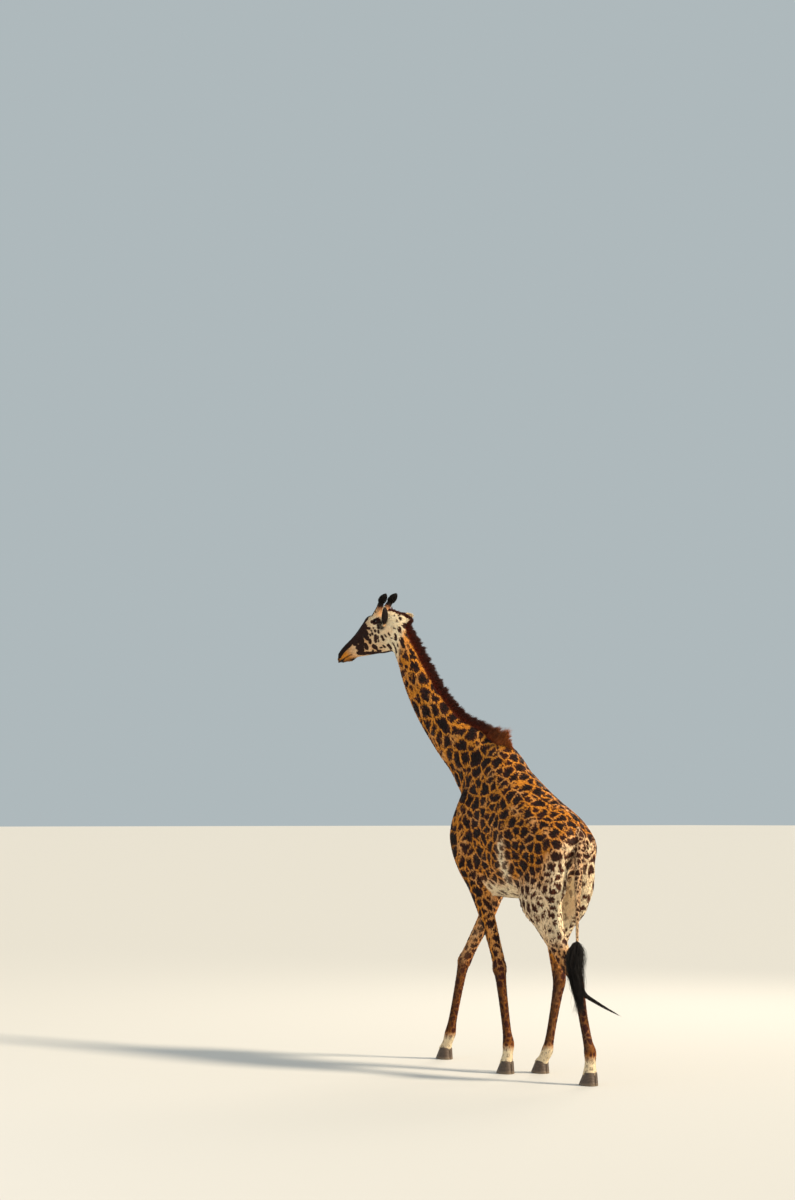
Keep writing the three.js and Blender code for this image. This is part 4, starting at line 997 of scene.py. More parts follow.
def strands(lines, wide, faces_out, flat=0.4):
    """Long tapering hairs along lines of points: a three-sided tube to a point each."""
    count, steps = lines.shape[:2]
    tangent = unit(np.gradient(lines, axis=1))
    out = unit(faces_out - dots(faces_out, tangent) * tangent)
    across = np.cross(tangent, out)
    taper = (1 - (np.arange(steps) / (steps - 1)) ** 1.6)[None, :, None] * wide[:, None, None] / 2
    ring = [(-1, -flat), (1, -flat), (0, flat)]
    rings = np.stack([lines + (across * c + out * s) * taper for c, s in ring], 2)[:, :-1]
    points = np.concatenate([rings.reshape(count, -1, 3), lines[:, -1:]], 1)
    faces = [[0, 2, 1]]
    for i in range(steps - 2):
        for j in range(3):
            a, b = 3 * i + j, 3 * i + (j + 1) % 3
            faces += [[a, b, b + 3], [a, b + 3, a + 3]]
    tip, last = 3 * (steps - 1), 3 * (steps - 2)
    faces += [[last + j, last + (j + 1) % 3, tip] for j in range(3)]
    rows = np.repeat(np.arange(steps - 1) / (steps - 1), 3)
    spots = np.stack([np.tile([-0.5, 0.5, 0], steps - 1), rows - 0.5], -1)
    return points, np.array(faces), np.vstack([spots, [[0, 0.5]]])


def hair_mesh(name, points, faces, spots, values, unwrap):
    """One mesh of many tufts; values and unwrapped places are given at their roots."""
    count, each = points.shape[:2]
    all_faces = (faces[None] + np.arange(count)[:, None, None] * each).reshape(-1, 3)
    spread = {key: np.repeat(value, each, axis=0) for key, value in values.items()}
    spread["tip"] = np.tile(spots[:, 1] + 0.5, count)
    patches = (unwrap[:, None] + spots[None] * BAKE_PATCH).reshape(-1, 2)
    return fill_mesh(name, points.reshape(-1, 3), all_faces, spread, patches)


def long_hair(name, shapes, shade, light, unwrap, finish, nodes):
    """One piece of long hair, from the shapes that strands gives."""
    data = hair_mesh(name, *shapes, {"shade": shade, "light": light}, unwrap)
    place(name, data, finish, nodes)


def coat_length(points, found):
    """How long the short coat is at each point."""
    length = np.full(len(points), 26.0)
    legs = lies_on(found["body"], LEGS)
    length[legs] = mix(12, 24, ramp(points[legs, 2], 250, 1300))
    face = lies_on(found["body"], ("head", *HORNS))
    along = head_places(points[face])[:, 0]
    length[face] = mix(18, mix(10, 6, ramp(along, 450, 600)), ramp(along, -60, 90))
    length[lies_on(found["body"], ["tail"])] = 12
    return length


COAT_GROUPS = {  # pieces of the short coat and the runs of flesh that each covers
    "coat_trunk": ["trunk"], "coat_neck": ["neck"], "coat_head": ["head", *HORNS],
    "coat_hind": ["hind_left", "hind_right", "tail"], "coat_fore": ["fore_left", "fore_right"],
}
TUFTS_A_PIECE = 24000
TUFT_SPACING, TUFT_WIDTH, TUFT_LIFT = 0.52, 0.26, 0.11  # in lengths of the hair
TUFT_STANDS = 0.6  # how far even the shortest tuft stands off the skin
FLESH_NODES = ["torso", "neck_lower", "neck_upper", "head", "leg_hind_left", "leg_hind_right",
               "leg_fore_left", "leg_fore_right", "tail_dock"]


def sown(points, faces, spacing, draw):
    """Places scattered evenly over a mesh: the corners of their triangles, the weights of these,
    and a function that reads there what the mesh keeps at its points."""
    a, b, c = (points[faces[:, k]] for k in range(3))
    area = away(np.cross(b - a, c - a)) / 2
    want = area / spacing[faces].mean(1) ** 2
    count = np.floor(want + draw.random(len(want))).astype(int)
    chosen = np.repeat(np.arange(len(faces)), count)
    u, v = draw.random((2, len(chosen)))
    over = u + v > 1
    u[over], v[over] = 1 - u[over], 1 - v[over]
    corners, weights = faces[chosen], np.stack([1 - u - v, u, v], -1)

    def read(value):
        """What the mesh keeps, at the places."""
        own = value[corners]
        return (own * (weights[..., None] if own.ndim == 3 else weights)).sum(1)

    return corners, weights, read


def short_coat(points, faces, normals, values, found, finish):
    """Short flat tufts over the whole skin, along the lie of the coat."""
    draw = np.random.default_rng(7)
    length = coat_length(points, found)
    corners, _, at_roots = sown(points, faces, length * TUFT_SPACING, draw)
    roots, out = at_roots(points), unit(at_roots(normals))
    places = both_sides(head_places(roots))
    bare = (away(places - EYE) < 40) & (eye_edge(places) > -5)
    bare |= (away(places - NOSTRIL) < 40) & (nostril_edge(places) < 1.6)
    bare |= (np.abs(places[:, 2] - mouth_line(places[:, 0])) < 5) & (places[:, 0] > MOUTH_FROM)
    bare |= roots[:, 2] < HOOF_HEIGHT
    body = found["body"][corners[:, 0]]
    long = at_roots(length) * draw.uniform(0.75, 1.2, len(roots))
    hang = np.array([0, 0, -0.3])
    way = unit(at_roots(found["lie"]) + hang + draw.normal(scale=0.13, size=(len(roots), 3)))
    at = {key: at_roots(value) for key, value in values.items()}
    unwrap = found["unwrap"][corners[:, 0]]
    for group, members in COAT_GROUPS.items():
        mine = np.nonzero(lies_on(body, members) & ~bare)[0]
        for number, first in enumerate(range(0, len(mine), TUFTS_A_PIECE)):
            name, some = f"{group}_{number}", mine[first : first + TUFTS_A_PIECE]
            size = long[some]
            shapes = blades(roots[some], out[some], way[some], size, size * TUFT_WIDTH,
                            size * TUFT_LIFT + TUFT_STANDS)
            own = {key: value[some] for key, value in at.items()}
            place(name, hair_mesh(name, *shapes, own, unwrap[some]), finish, FLESH_NODES)


# ---------------------------------------------------------------- mane, tail and horn hair
def crest_frames():
    """Frames along the top of the neck, from the withers to the poll."""
    neck = BODIES["neck"]
    nape = on_head([[a, 0, 0] for a in NAPE])
    at = np.vstack([neck.at[:-NAPE_DROPPED], nape])
    forward, left, up = ([row] * len(NAPE) for row in HEAD_AXES)
    ways = ((neck.up, up), (neck.side, left), (neck.along, forward))
    return at, *(np.vstack([rows[:-NAPE_DROPPED], poll]) for rows, poll in ways)


def crest(share):
    """Points on the crest of the neck, and the ways up, to the left and along there."""
    at, up, side, along = (read_rows(rows, share) for rows in crest_frames())
    up = unit(up)
    inner, outer = np.zeros(len(at)), np.full(len(at), float(CREST_REACH))
    for reach in np.arange(40, CREST_REACH, 30):
        out = hide(at + up * reach, ("trunk", "neck", "head")) > 0
        outer = np.where(out & (outer == CREST_REACH), reach, outer)
        inner = np.where(outer == CREST_REACH, reach, inner)
    for _ in range(9):
        half = (inner + outer) / 2
        out = hide(at + up * half[:, None], ("trunk", "neck", "head")) > 0
        outer, inner = np.where(out, half, outer), np.where(out, inner, half)
    return at + up * inner[:, None], up, unit(side), unit(along)


def mane_height(share):
    """How high the mane stands at a share of its way from the withers to the poll."""
    hump = bell((share - WITHERS_AT) / WITHERS_SPREAD)
    neck = mix(MANE_HEIGHT, POLL_MANE, ramp(share, 0.6, 0.86))
    end = mix(1, POLL_END, ramp(share, 0.85, 0.91))
    return ramp(share, 0.04, 0.14) * end * mix(neck, WITHERS_MANE, hump)


MANE_HAIRS, MANE_HALF_WIDTH = 7600, 24
WAVES_ALONG = 2.2  # waves in one long hair


def crest_guide():
    """The crest at even steps along its length, with its ways and its share of the run."""
    share = np.linspace(MANE_FROM, 1, 400)
    rows = crest(share)
    length = np.append(0, np.cumsum(away(np.diff(rows[0], axis=0))))
    even = np.linspace(0, length[-1], 300)
    spread = [np.stack([np.interp(even, length, column) for column in row.T], -1) for row in rows]
    return spread, np.interp(even, length, share)


def mane(finish):
    """The mane: short stiff hair that stands in a narrow band and leans to the withers."""
    draw = np.random.default_rng(21)
    rows, shares = crest_guide()
    mark = draw.random(MANE_HAIRS)
    top, up, side, along = (read_rows(r, mark) for r in rows)
    share = read_rows(shares[:, None], mark)[:, 0]
    row = np.clip(draw.normal(scale=0.5, size=MANE_HAIRS), -1, 1)
    clump = waves(np.stack([mark * 2200, row * 10, 0 * row], -1), 30, 5)
    height = np.maximum(mane_height(share), 12) * (1 - 0.34 * row**2) * (0.95 + 0.17 * clump)
    height *= draw.uniform(0.84, 1.08, MANE_HAIRS)
    spiky = (share > 0.945) & (waves(np.stack([mark * 2200, 0 * row, 0 * row], -1), 14, 6) > 0.55)
    height *= np.where(spiky & (draw.random(MANE_HAIRS) > 0.6), 2.6, 1)
    lean = mix(0.02, 0.22, ramp(share, 0.12, 0.3))
    back = height * (lean + draw.uniform(0.0, 0.3, MANE_HAIRS))
    t = np.linspace(0, 1, 5)[None, :, None]
    lines = (top + side * (row * MANE_HALF_WIDTH)[:, None] - up * (12 + 9 * row**2)[:, None])[:, None]
    lines = lines + (up * (height + 12)[:, None])[:, None] * t
    lines = lines - (along * back[:, None])[:, None] * t**2
    lines = lines + (side * (row * 8 + draw.normal(scale=5, size=MANE_HAIRS))[:, None])[:, None] * t
    wide = draw.uniform(4, 8, MANE_HAIRS)
    outward = np.repeat(side[:, None], 5, axis=1)
    unwrap = np.stack([0.34 + 0.3 * (0.75 + 0.04 * row), 0.01 + 0.48 * share], -1)
    withers = fall(share, 0.12, 0.26)
    shade, light = draw.random(MANE_HAIRS), withers * draw.uniform(0.5, 1, MANE_HAIRS)
    long_hair("mane", strands(lines, wide, outward), shade, light, unwrap, finish,
              ["neck_lower", "neck_upper", "head"])


def frizz(lines, draw, amount):
    """Long hair given a loose wave of its own, growing towards its tip."""
    count, steps = lines.shape[:2]
    t = np.linspace(0, 1, steps)[None, :, None]
    phase = draw.uniform(0, 2 * math.pi, (count, 1, 3))
    turns = t * WAVES_ALONG * 2 * math.pi * draw.uniform(0.6, 1.3, (count, 1, 1))
    return lines + amount * t * np.sin(phase + turns)


TAIL_HAIRS, TAIL_LOCKS, WISPS, FLYING_HAIRS = 2300, 60, 190, 170


def tail_hair(finish):
    """The tail's long black hair: a full bulb, hanging ends and one lock that flies out."""
    draw = np.random.default_rng(31)
    count, steps = TAIL_HAIRS, 10
    t = np.linspace(0, 1, steps)
    start = draw.uniform(0, 0.72, count)
    end = np.minimum(start + draw.uniform(0.2, 0.5, count), draw.uniform(0.8, 1.04, count))
    end = np.maximum(end, start + 0.1)
    rows = read_rows(TUFT, start[:, None] + (end - start)[:, None] * t)
    lock = draw.integers(0, TAIL_LOCKS, count)
    turn = draw.uniform(0, 2 * math.pi, TAIL_LOCKS)[lock]
    push = draw.uniform(0.6, 1.22, TAIL_LOCKS)[lock]
    angle = (turn + draw.normal(scale=0.22, size=count))[:, None]
    angle = angle + draw.normal(scale=0.35, size=(count, 1)) * t
    out = mix(0.12, push[:, None], ramp(t, 0, 0.4)) * np.sqrt(draw.uniform(0.1, 1.0, (count, 1)))
    ring = np.stack([np.cos(angle), np.sin(angle), np.zeros_like(angle)], -1)
    out = out + (draw.random((count, 1)) > 0.8) * draw.uniform(0.1, 0.6, (count, 1)) * t**2
    lines = rows[..., :3] + ring * (rows[..., 3] * out)[..., None]
    lines = frizz(lines, draw, 7.0)
    flying = read_rows(FLYING_LOCK, t[None] * draw.uniform(0.7, 1, (FLYING_HAIRS, 1)))
    spread = draw.normal(size=(FLYING_HAIRS, 1, 3)) * (flying[..., 3] * 0.5)[..., None]
    low = np.argsort(-end)[:WISPS]
    drop = draw.uniform(0.2, 1, (WISPS, 1, 1)) * (t**2)[None, :, None]
    sag = np.concatenate([draw.normal(scale=30, size=(WISPS, 1, 2)), np.full((WISPS, 1, 1), -120.0)], 2)
    wisps = lines[low] + sag * drop
    lines = np.concatenate([lines, flying[..., :3] + spread, frizz(wisps, draw, 8.0)])
    radial = np.concatenate([ring, np.broadcast_to([0, 0, 1.0], flying[..., :3].shape), ring[low]])
    wide = draw.uniform(2.4, 5.2, len(lines))
    count = len(lines)
    unwrap = np.stack([0.86 + 0.06 * draw.random(count), 0.9 + 0.09 * draw.random(count)], -1)
    long_hair("tail_hair", strands(lines, wide, radial, 0.6), draw.random(count), np.zeros(count),
              unwrap, finish, ["tail_tuft"])


def horn_hair(side, name, finish):
    """Black hair that stands round the top of a horn and closes to a point leaning back."""
    draw = np.random.default_rng(41 + side)
    count, steps = 1500, 6
    foot, tip = (on_head([sided(end, side)])[0] for end in (HORN_FOOT, HORN_TIP))
    axis = tip - foot
    across = unit(np.cross(axis, HEAD_AXES[1]))
    third = unit(np.cross(axis, across))
    t = np.linspace(0, 1, steps)
    start = draw.uniform(0.0, 0.72, count)
    end = start + draw.uniform(0.22, 0.46, count)
    end = np.minimum(end, draw.uniform(0.86, 1.0, count))
    rows = read_rows(HORN_TUFT, start[:, None] + (end - start)[:, None] * t)
    angle = draw.uniform(0, 2 * math.pi, (count, 1)) + 0 * t
    radial = across * np.cos(angle)[..., None] + third * np.sin(angle)[..., None]
    core = read_rows(np.array(HORN_RADII, float)[:, None], rows[..., 0] / HORN_CORE)[..., 0]
    full = rows[..., 1] * draw.uniform(0.7, 0.98, (count, 1))
    radius = np.maximum(mix(core - 4, full, ramp(t, 0, 0.7)), 0)
    lines = foot + axis * rows[..., :1] + HEAD_AXES[0] * rows[..., 2:] + radial * radius[..., None]
    lines = frizz(lines, draw, 1.6)
    x, y, w, h = ATLAS[f"horn_{name}"]
    unwrap = np.stack([x + w * angle[:, 0] / (2 * math.pi), y + h * (0.7 + 0.3 * start)], -1)
    shade = draw.random(count)
    shapes = strands(lines, draw.uniform(2.2, 4.4, count), radial, 0.5)
    long_hair(f"horn_hair_{name}", shapes, shade, np.zeros(count), unwrap, finish,
              [f"ossicone_tuft_{name}"])


# ---------------------------------------------------------------- ears, eyes and hooves
EAR_ARC_POINTS, EAR_SPACING, LASH_WIDTH = 13, 5.0, 1.3


def ear_rings(root, points, opens):
    """Rings of an ear: round its back and then round the hollow of its cup."""
    way = unit(np.array(points, float))
    cup = np.array(opens, float)
    cup = unit(cup - way * (cup @ way))
    across = np.cross(way, cup)
    angle = np.linspace(0, math.pi, EAR_ARC_POINTS)
    rings = []
    for share, width, hollow in refined(EAR_STATIONS, 4):
        half = EAR_WIDTH / 2 * width
        centre = on_head([root])[0] + way * EAR_LENGTH * share
        inner = max(half - EAR_WALL, 1)
        arcs = [(half, EAR_DEPTH * width, angle),
                (inner, EAR_DEPTH * width * hollow - EAR_WALL, angle[::-1])]
        rings.append(np.vstack([centre + np.outer(np.cos(a) * r, across) - np.outer(np.sin(a) * d, cup)
                                for r, d, a in arcs]))
    return np.array(rings), way, cup


def ear(name, finish):
    """One ear: a cupped leaf with a dark back and a pale inside, and long hair in its cup."""
    rings, way, cup = ear_rings(*EARS[name])
    points, faces = loft(rings)
    if np.einsum("ij,ij->i", normals_of(points, faces), points - points.mean(0)).mean() < 0:
        faces = faces[:, ::-1]
    count = rings.shape[1]
    inside = np.tile(np.arange(count) >= count // 2, len(rings))
    inside = np.append(inside, [False, False]).astype(float)
    share = np.append(np.repeat(np.linspace(0, 1, len(rings)), count), [0, 1])
    ones = np.ones(len(points))
    values = {"cell": points / 34, "strand": points * [1, 1, 0.2], "pale": mix(0.45, 1, inside),
              "dark_and_shade": mix(1.0, 0.0, inside) * ramp(share, 0.02, 0.2), "faint": ones, "line": ones * 0.3,
              "rust": 0 * ones, "face": ones, "mark": -30 * ones}
    data = fill_mesh(f"ear_skin_{name}", points, faces, values)
    place(f"ear_skin_{name}", data, finish, [f"ear_{name}"])
    draw = np.random.default_rng(51)
    normals = normals_of(points, faces)
    corners, weights, mean = sown(points, faces, np.full(len(points), EAR_SPACING), draw)
    long = draw.uniform(9, 14, len(corners)) * mix(1, 1.7, mean(inside))
    sway = draw.normal(scale=0.2, size=(len(corners), 3))
    ways = unit(way + sway + cup * 0.25 * mean(inside)[:, None])
    at = {key: mean(value) for key, value in values.items()}
    unwrap = np.stack([0.93 + 0.06 * mean(share), 0.6 + 0.3 * weights[:, 0]], -1)
    shapes = blades(mean(points), unit(mean(normals)), ways, long, long * 0.2, long * 0.12)
    data = hair_mesh(f"ear_coat_{name}", *shapes, at, unwrap)
    place(f"ear_coat_{name}", data, finish, [f"ear_{name}"])


def eye_places(side, polar, around, radius):
    """Points on an eye by their angle from its outward axis and round it."""
    way = np.stack([np.sin(polar) * np.cos(around), side * np.cos(polar),
                    np.sin(polar) * np.sin(around)], -1)
    return on_head(sided(EYE, side) + way * radius[..., None])


def eye(name, side, finish):
    """The eyeball, with the clear swell of the cornea over the iris."""
    polar = np.linspace(0.03, math.pi - 0.03, 30)[:, None] + np.zeros((1, 36))
    around = np.linspace(0, 2 * math.pi, 36, endpoint=False)[None] + np.zeros((30, 1))
    radius = EYE_RADIUS - 0.4 + 1.6 * (1 - ramp(polar, 0.2, 0.75))
    points, faces = loft(eye_places(side, polar, around, radius))
    values = {"polar": np.append(polar.ravel(), [0, math.pi]),
              "level": np.append((np.sin(polar) * np.sin(around)).ravel(), [0, 0])}
    if side < 0:
        faces = faces[:, ::-1]
    data = fill_mesh(f"eyeball_{name}", points, faces, values)
    place(f"eyeball_{name}", data, finish, [f"eye_{name}"])


def lashes(name, side, finish):
    """Long lashes from the edge of the upper lid."""
    draw = np.random.default_rng(61)
    count, steps = 70, 5
    x = np.linspace(-0.92, 0.92, count)
    arch = 1 - x**2
    lid = np.stack([x * EYE_OPEN_LONG, side * (16 + 8 * arch), EYE_OPEN_HIGH * arch + 2], -1)
    t = np.linspace(0, 1, steps)[None, :, None]
    reach = draw.uniform(18, 27, (count, 1, 1))
    out = np.stack([x * 0.5, np.full(count, side * 1.0), np.full(count, 0.05)], -1)[:, None]
    lines = lid[:, None] + (out * t + np.array([0, 0, -0.75]) * t**2) * reach
    lines = on_head((lines + sided(EYE, side)).reshape(-1, 3)).reshape(count, steps, 3)
    up = np.broadcast_to(HEAD_AXES[2], lines.shape)
    unwrap = np.stack([0.82 + 0.0 * x, 0.2 + 0.01 * x], -1)
    shapes = strands(lines, np.full(count, LASH_WIDTH), up, 0.6)
    long_hair(f"lashes_{name}", shapes, draw.random(count), np.zeros(count), unwrap, finish, ["head"])


def claw(stations, side, name, finish):
    """One claw of a cloven hoof, rounded to the toe and flat along the cleft."""
    x, y, _, front, back, wide = stations[-1]
    outer = np.linspace(-math.pi / 2, math.pi / 2, 17)
    inner = np.linspace(0.92, -0.92, 7)
    rings = []
    for rise, grow in CLAW_RISES:
        closing = min(rise, 1)
        length = mix(HOOF_LENGTH, front + back, closing) / 2 * grow
        width = mix(HOOF_WIDTH / 2, wide, closing) * grow
        middle = y - HOOF_FORWARD * (1 - closing)
        taper = 1 - HOOF_TOE_TAPER * np.maximum(-np.sin(outer), 0)
        edge, cleft = (CLEFT / 2 + TOES_PART * (1 - closing) * np.maximum(-run, 0) ** 2
                       for run in (np.sin(outer), inner))
        reach = edge + (width * taper - edge) * np.maximum(np.cos(outer), 0) ** 0.75
        across = np.concatenate([reach, cleft])
        ahead = np.concatenate([np.sin(outer), inner]) * length
        height = np.full(len(ahead), rise * HOOF_HEIGHT)
        rings.append(np.stack([x + side * across, middle + ahead, height], -1))
    points, faces = loft(np.array(rings))
    if side < 0:
        faces = faces[:, ::-1]
    data = fill_mesh(f"hoof_{name}", points, faces)
    place(f"hoof_{name}", data, finish, [f"claw_{name}"])


# ---------------------------------------------------------------- finishes
def tone(code):
    """An sRGB hex colour as linear values."""
    parts = [int(code[i : i + 2], 16) / 255 for i in (1, 3, 5)]
    return (*[v / 12.92 if v <= 0.04045 else ((v + 0.055) / 1.055) ** 2.4 for v in parts], 1.0)


class Finish:
    """A material with its own nodes round one shader."""

    def __init__(self, name, **sockets):
        self.made = bpy.data.materials.new(name)
        self.made.use_nodes = True
        self.tree = self.made.node_tree
        self.shader = self.tree.nodes["Principled BSDF"]
        for key, value in sockets.items():
            self.shader.inputs[key.replace("_", " ")].default_value = value

    def add(self, kind, inputs=(), out=0, **settings):
        """Adds a node with its settings; inputs hold a value or another node's output each."""
        node = self.tree.nodes.new("ShaderNode" + kind)
        for key, value in settings.items():
            setattr(node, key, value)
        for key, value in dict(inputs).items():
            if isinstance(value, bpy.types.NodeSocket):
                self.tree.links.new(value, node.inputs[key])
            else:
                node.inputs[key].default_value = value
        return node.outputs[out]

    def feed(self, socket, output):
        """Feeds a socket of the shader."""
        self.tree.links.new(output, self.shader.inputs[socket])


def coat_finish():
    """Short giraffe coat, groomed flat: matt hair with a faint sheen along its lie.

    Jagged dark patches, cut by narrow pale lines into vine-leaf shapes, on tan that pales to
    cream. Streaks are 3 mm wide here where real hairs are a tenth of that, so that they show.
    """
    coat = Finish("short_coat_hair", Roughness=0.62, IOR=1.5, Specular_IOR_Level=0.2,
                  Sheen_Weight=0.03, Sheen_Roughness=0.45)
    add, colours = coat.add, {"out": 2, "data_type": "RGBA"}
    cell, strand = (add("Attribute", out=1, attribute_name=name) for name in ("cell", "strand"))
    pale, dark_and_shade, faint, line, rust, face, mark = (
        add("Attribute", out=2, attribute_name=name)
        for name in ("pale", "dark_and_shade", "faint", "line", "rust", "face", "mark"))
    # Patches: cells between pale lines, with swayed edges, and notched by smaller cells.
    at = cell
    for scale, amount in ((1.8, 0.5), (6.0, 0.22)):
        sway = add("TexNoise", {"Vector": at, "Scale": scale, "Detail": 2.0, "Roughness": 0.5}, out=1)
        sway = add("VectorMath", {0: sway, 1: (0.5, 0.5, 0.5)}, operation="SUBTRACT")
        sway = add("VectorMath", {0: sway, "Scale": amount}, operation="SCALE")
        at = add("VectorMath", {0: at, 1: sway}, operation="ADD")
    edge, notch = (
        add("TexVoronoi", {"Vector": at, "Scale": scale, "Randomness": random}, feature="DISTANCE_TO_EDGE")
        for scale, random in ((1.0, 0.85), (2.1, 1.0)))
    gap = add("Math", {0: faint, 1: 0.08, 2: line}, operation="MULTIPLY_ADD")
    body = add("Math", {0: edge, 1: gap}, operation="SUBTRACT")
    notch = add("Math", {0: notch, 1: 1.5}, operation="MULTIPLY")
    wide_gap = add("Math", {0: gap, 1: 1.6}, operation="MULTIPLY")
    notch = add("Math", {0: notch, 1: wide_gap}, operation="SUBTRACT")
    notch = add("Math", {0: edge, 1: 0.62, 2: notch}, operation="MULTIPLY_ADD")
    inside = add("Math", {0: body, 1: notch}, operation="MINIMUM")
    patch = add("MapRange", {"Value": inside, "From Min": -0.012, "From Max": 0.016})
    off_face = add("Math", {0: 1.0, 1: face}, operation="SUBTRACT")
    patch = add("Math", {0: patch, 1: off_face}, operation="MULTIPLY")
    # The marks of the face, frayed along the hair.
    fray = add("TexNoise", {"Vector": strand, "Scale": 0.06, "Detail": 3.0, "Roughness": 0.7})
    fray = add("Math", {0: fray, 1: 16.0, 2: -8.0}, operation="MULTIPLY_ADD")
    spot = add("Math", {0: mark, 1: fray}, operation="ADD")
    spot = add("MapRange", {"Value": spot, "From Min": -2.0, "From Max": 2.5})
    spot = add("Math", {0: spot, 1: face}, operation="MULTIPLY")
    patch = add("Math", {0: patch, 1: spot}, operation="MAXIMUM")
    fading = add("Math", {0: faint, 1: -0.45, 2: 1.0}, operation="MULTIPLY_ADD")
    patch = add("Math", {0: patch, 1: fading}, operation="MULTIPLY")
    deep = add("MapRange", {"Value": inside, "From Min": 0.0, "From Max": 0.16})
    deep = add("Math", {0: deep, 1: face}, operation="MAXIMUM")
    streak = add("TexNoise", {"Vector": strand, "Scale": 0.3, "Detail": 3.0, "Roughness": 0.6})
    mottle = add("TexNoise", {"Vector": cell, "Scale": 3.2, "Detail": 3.0, "Roughness": 0.5})
    mottled = add("Math", {0: mottle, 1: 0.3}, operation="MULTIPLY")
    rusty = add("Math", {0: rust, 1: 0.92}, operation="MULTIPLY")
    dusk = add("Math", {0: mottle, 1: 0.4, 2: dark_and_shade}, operation="MULTIPLY_ADD")
    dusk = add("MapRange", {"Value": dusk, "From Min": 0.45, "From Max": 1.05})
    # Tan or cream ground, patches with a browner rim, then rust by the mane, and over all the dark
    # colouring with its painted shade.
    ground, rim, heart = (
        add("Mix", {0: pale, 6: tone(low), 7: tone(high)}, **colours)
        for low, high in (("#dc8d27", "#fcedc8"), ("#47190a", "#6b3516"), ("#1a0702", "#38170a")))
    ground = add("Mix", {0: mottled, 6: ground, 7: tone("#b5611f")}, **colours)
    colour = add("Mix", {0: deep, 6: rim, 7: heart}, **colours)
    colour = add("Mix", {0: patch, 6: ground, 7: colour}, **colours)
    for share, tint in ((rusty, "#6a210b"), (dusk, "#1a0f0a")):
        colour = add("Mix", {0: share, 6: colour, 7: tone(tint)}, **colours)
    light = add("MapRange", {"Value": streak, "From Min": 0.3, "From Max": 0.7,
                             "To Min": 0.72, "To Max": 1.16})
    coat.feed("Base Color", add("VectorMath", {0: colour, "Scale": light}, operation="SCALE"))
    coat.feed("Normal", add("Bump", {"Height": streak, "Strength": 0.5, "Distance": 0.0025}))
    return coat.made


def hair_finish(name, root, tip):
    """Coarse hair, nearly matt: its colour changes from root to tip, and each hair is a little
    lighter or darker than the next."""
    hair = Finish(name, Roughness=0.6, IOR=1.55, Specular_IOR_Level=0.22)
    shade, along, fringe = (hair.add("Attribute", out=2, attribute_name=key)
                            for key in ("shade", "tip", "light"))
    colour = tone(root)
    for share, tint in ((along, tip), (fringe, "#9c5420")):
        colour = hair.add("Mix", {0: share, 6: colour, 7: tone(tint)}, out=2, data_type="RGBA")
    light = hair.add("MapRange", {"Value": shade, "To Min": 0.55, "To Max": 1.35})
    hair.feed("Base Color", hair.add("VectorMath", {0: colour, "Scale": light}, operation="SCALE"))
    return hair.made


def eye_finish():
    """A wet eye: dark brown iris, level black pupil, under a clear smooth cornea."""
    wet = Finish("wet_eye", Roughness=0.08, IOR=1.376, Coat_Weight=1.0, Coat_Roughness=0.02)
    polar, rise = (wet.add("Attribute", out=2, attribute_name=key) for key in ("polar", "level"))
    pupil = wet.add("Math", {0: rise, 1: 5.0}, operation="MULTIPLY")
    pupil = wet.add("Math", {0: pupil, 1: pupil}, operation="MULTIPLY")
    pupil = wet.add("Math", {0: pupil, 1: polar}, operation="ADD")
    colour = tone("#050302")
    for value, low, high, tint in ((pupil, 0.5, 0.56, "#2c1609"), (polar, 0.86, 1.0, "#1a0f0a")):
        share = wet.add("MapRange", {"Value": value, "From Min": low, "From Max": high})
        colour = wet.add("Mix", {0: share, 6: colour, 7: tone(tint)}, out=2, data_type="RGBA")
    wet.feed("Base Color", colour)
    return wet.made


def hoof_finish():
    """Hoof horn worn by walking: dull dark grey-brown, ringed every 12 mm, dusty at the sole."""
    hoof = Finish("hoof_horn_worn", Roughness=0.55, IOR=1.55, Specular_IOR_Level=0.4)
    at = hoof.add("TexCoord", out=3)
    ring = hoof.add("TexWave", {"Vector": at, "Scale": 26.0, "Distortion": 2.5, "Detail": 2.0},
                    bands_direction="Z")
    grain = hoof.add("TexNoise", {"Vector": at, "Scale": 60.0, "Detail": 4.0})
    band = hoof.add("Math", {0: ring, 1: 0.4}, operation="MULTIPLY")
    height = hoof.add("SeparateXYZ", {"Vector": at}, out=2)
    dust = hoof.add("MapRange", {"Value": height, "From Min": 0.03, "From Max": 0.0, "To Max": 0.55})
    colour = tone("#2c211b")
    for share, tint in ((grain, "#75604f"), (band, "#1f1713"), (dust, "#a08b72")):
        colour = hoof.add("Mix", {0: share, 6: colour, 7: tone(tint)}, out=2, data_type="RGBA")
    hoof.feed("Base Color", colour)
    rough = hoof.add("Math", {0: ring, 1: grain}, operation="ADD")
    hoof.feed("Normal", hoof.add("Bump", {"Height": rough, "Strength": 0.6, "Distance": 0.003}))
    return hoof.made


# ---------------------------------------------------------------- the animal
def dressed():
    """Puts every piece of the animal into the scene."""
    coat = coat_finish()
    data = made_skin()
    faces, _ = triangles_and_edges(data)
    points = points_of(data)
    normals = normals_of(points, faces)
    values, found = coat_values(points)
    keep_values(data, values)
    data.polygons.foreach_set("use_smooth", np.ones(len(data.polygons), bool))
    data.materials.clear()
    place("skin", data, coat, FLESH_NODES)
    short_coat(points, faces, normals, values, found, coat)
    mane(hair_finish("mane_hair_stiff", "#7a2a0e", "#1c0804"))
    black = hair_finish("tail_hair_coarse", "#0a0504", "#120905")
    tail_hair(black)
    horn = hoof_finish()
    gloss = eye_finish()
    for name, side in SIDES.items():
        horn_hair(side, name, black)
        ear(name, coat)
        eye(name, side, gloss)
        lashes(name, side, black)
        for leg, stations in LEGS.items():
            claw(stations, side, f"{leg}_{name}", horn)


dressed()


# ---------------------------------------------------------------- floor, light and camera
FLOOR_REACH = 600  # metres


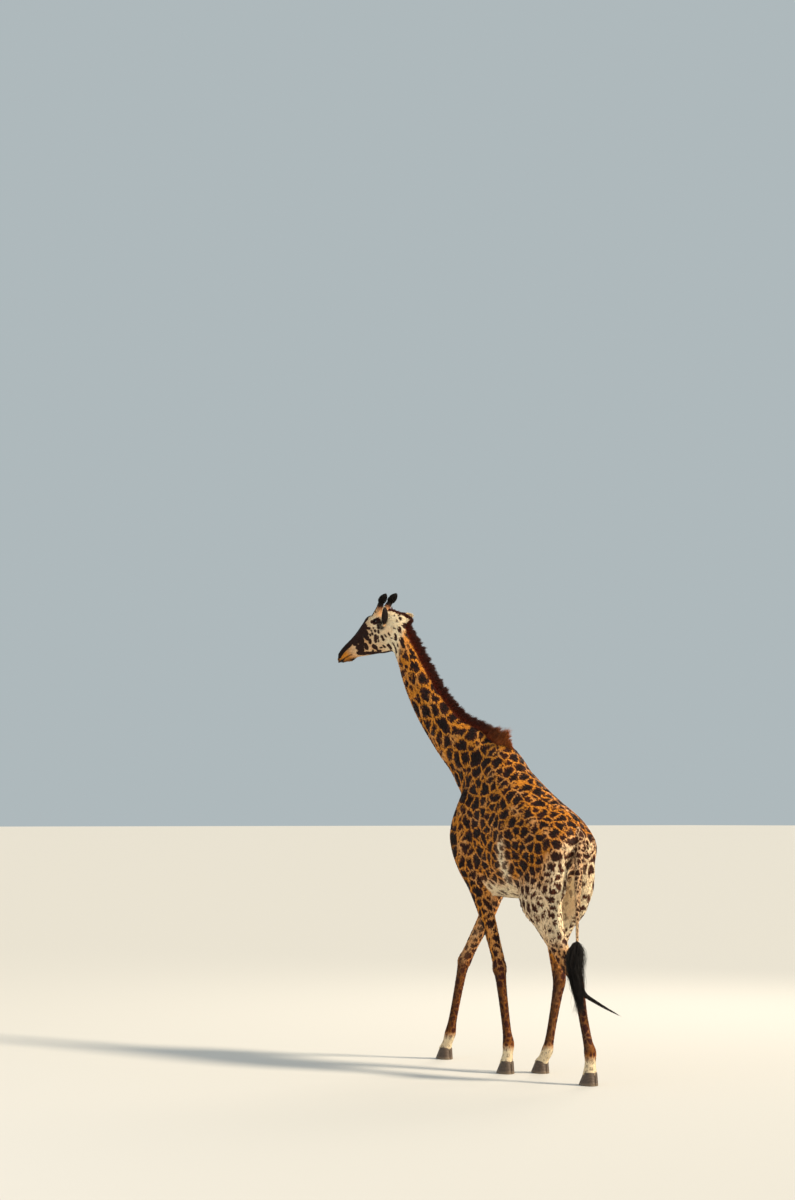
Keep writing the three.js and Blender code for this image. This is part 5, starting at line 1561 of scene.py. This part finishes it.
def sweep():
    """A pale matt floor all round, like seamless paper."""
    paper = Finish("pale_floor", Base_Color=tone("#cfcdc9"), Roughness=0.9)
    data = bpy.data.meshes.new("floor")
    corners = [(x * FLOOR_REACH, y * FLOOR_REACH, 0) for x, y in ((-1, -1), (1, -1), (1, 1), (-1, 1))]
    data.from_pydata(corners, [], [(0, 1, 2, 3)])
    data.materials.append(paper.made)
    piece = linked("floor", data)


def light(name, at, aim, size, power, colour, kind="AREA"):
    """One lamp aimed at a place; its size is an angle for a sun, and in metres otherwise."""
    lamp = bpy.data.lights.new(name, kind)
    if kind == "SUN":
        lamp.angle = size
    else:
        lamp.size = size
    lamp.energy, lamp.color = power, tone(colour)[:3]
    made = linked(name, lamp)
    made.location = at
    made.rotation_euler = (Vector(aim) - Vector(at)).to_track_quat("-Z", "Y").to_euler()


CAMERA_AT = np.array([11.484, 13.406, 2.1]) + SHIFT  # metres
CAMERA_WAY = np.array([-0.602, -0.799, 0.0])
CAMERA_TILT = 6.04  # degrees upwards
CAMERA_LENS = 62.4  # for a sensor 36 mm high


def camera():
    """The view from behind on the left, from the height of a seated person's eye."""
    lens = bpy.data.cameras.new("camera")
    lens.sensor_fit, lens.sensor_height, lens.sensor_width, lens.lens = "VERTICAL", 36, 36, CAMERA_LENS
    lens.clip_end = 2000
    made = linked("camera", lens)
    made.location = CAMERA_AT
    tilt = math.radians(CAMERA_TILT)
    way = Vector((*(CAMERA_WAY[:2] * math.cos(tilt)), math.sin(tilt)))
    made.rotation_euler = way.to_track_quat("-Z", "Y").to_euler()
    bpy.context.scene.camera = made


def lights():
    """A warm low key, a cool fill and a rim, all soft, under an even pale sky."""
    right = np.array([-0.799, 0.602, 0])
    back = -CAMERA_WAY
    key = right * 8 + back * 3.6 + [0, 0, 8]
    fill = -right * 7 + back * 6 + [0, 0, 4]
    rim = right * 4 - back * 7 + [0, 0, 7]
    aim = (0, 0, 1.9)
    light("key", key, aim, math.radians(9), 5.0, "#ffeed2", "SUN")
    light("fill", fill, aim, 6, 90, "#eaf1ff")
    light("rim", rim, aim, 4, 300, "#fff0da")
    world = bpy.data.worlds.new("studio")
    world.use_nodes = True
    world.node_tree.nodes["Background"].inputs[0].default_value = tone("#dbe8ec")
    world.node_tree.nodes["Background"].inputs[1].default_value = 0.6
    bpy.context.scene.world = world


bpy.context.scene.view_settings.view_transform = "Standard"
sweep()
lights()
camera()
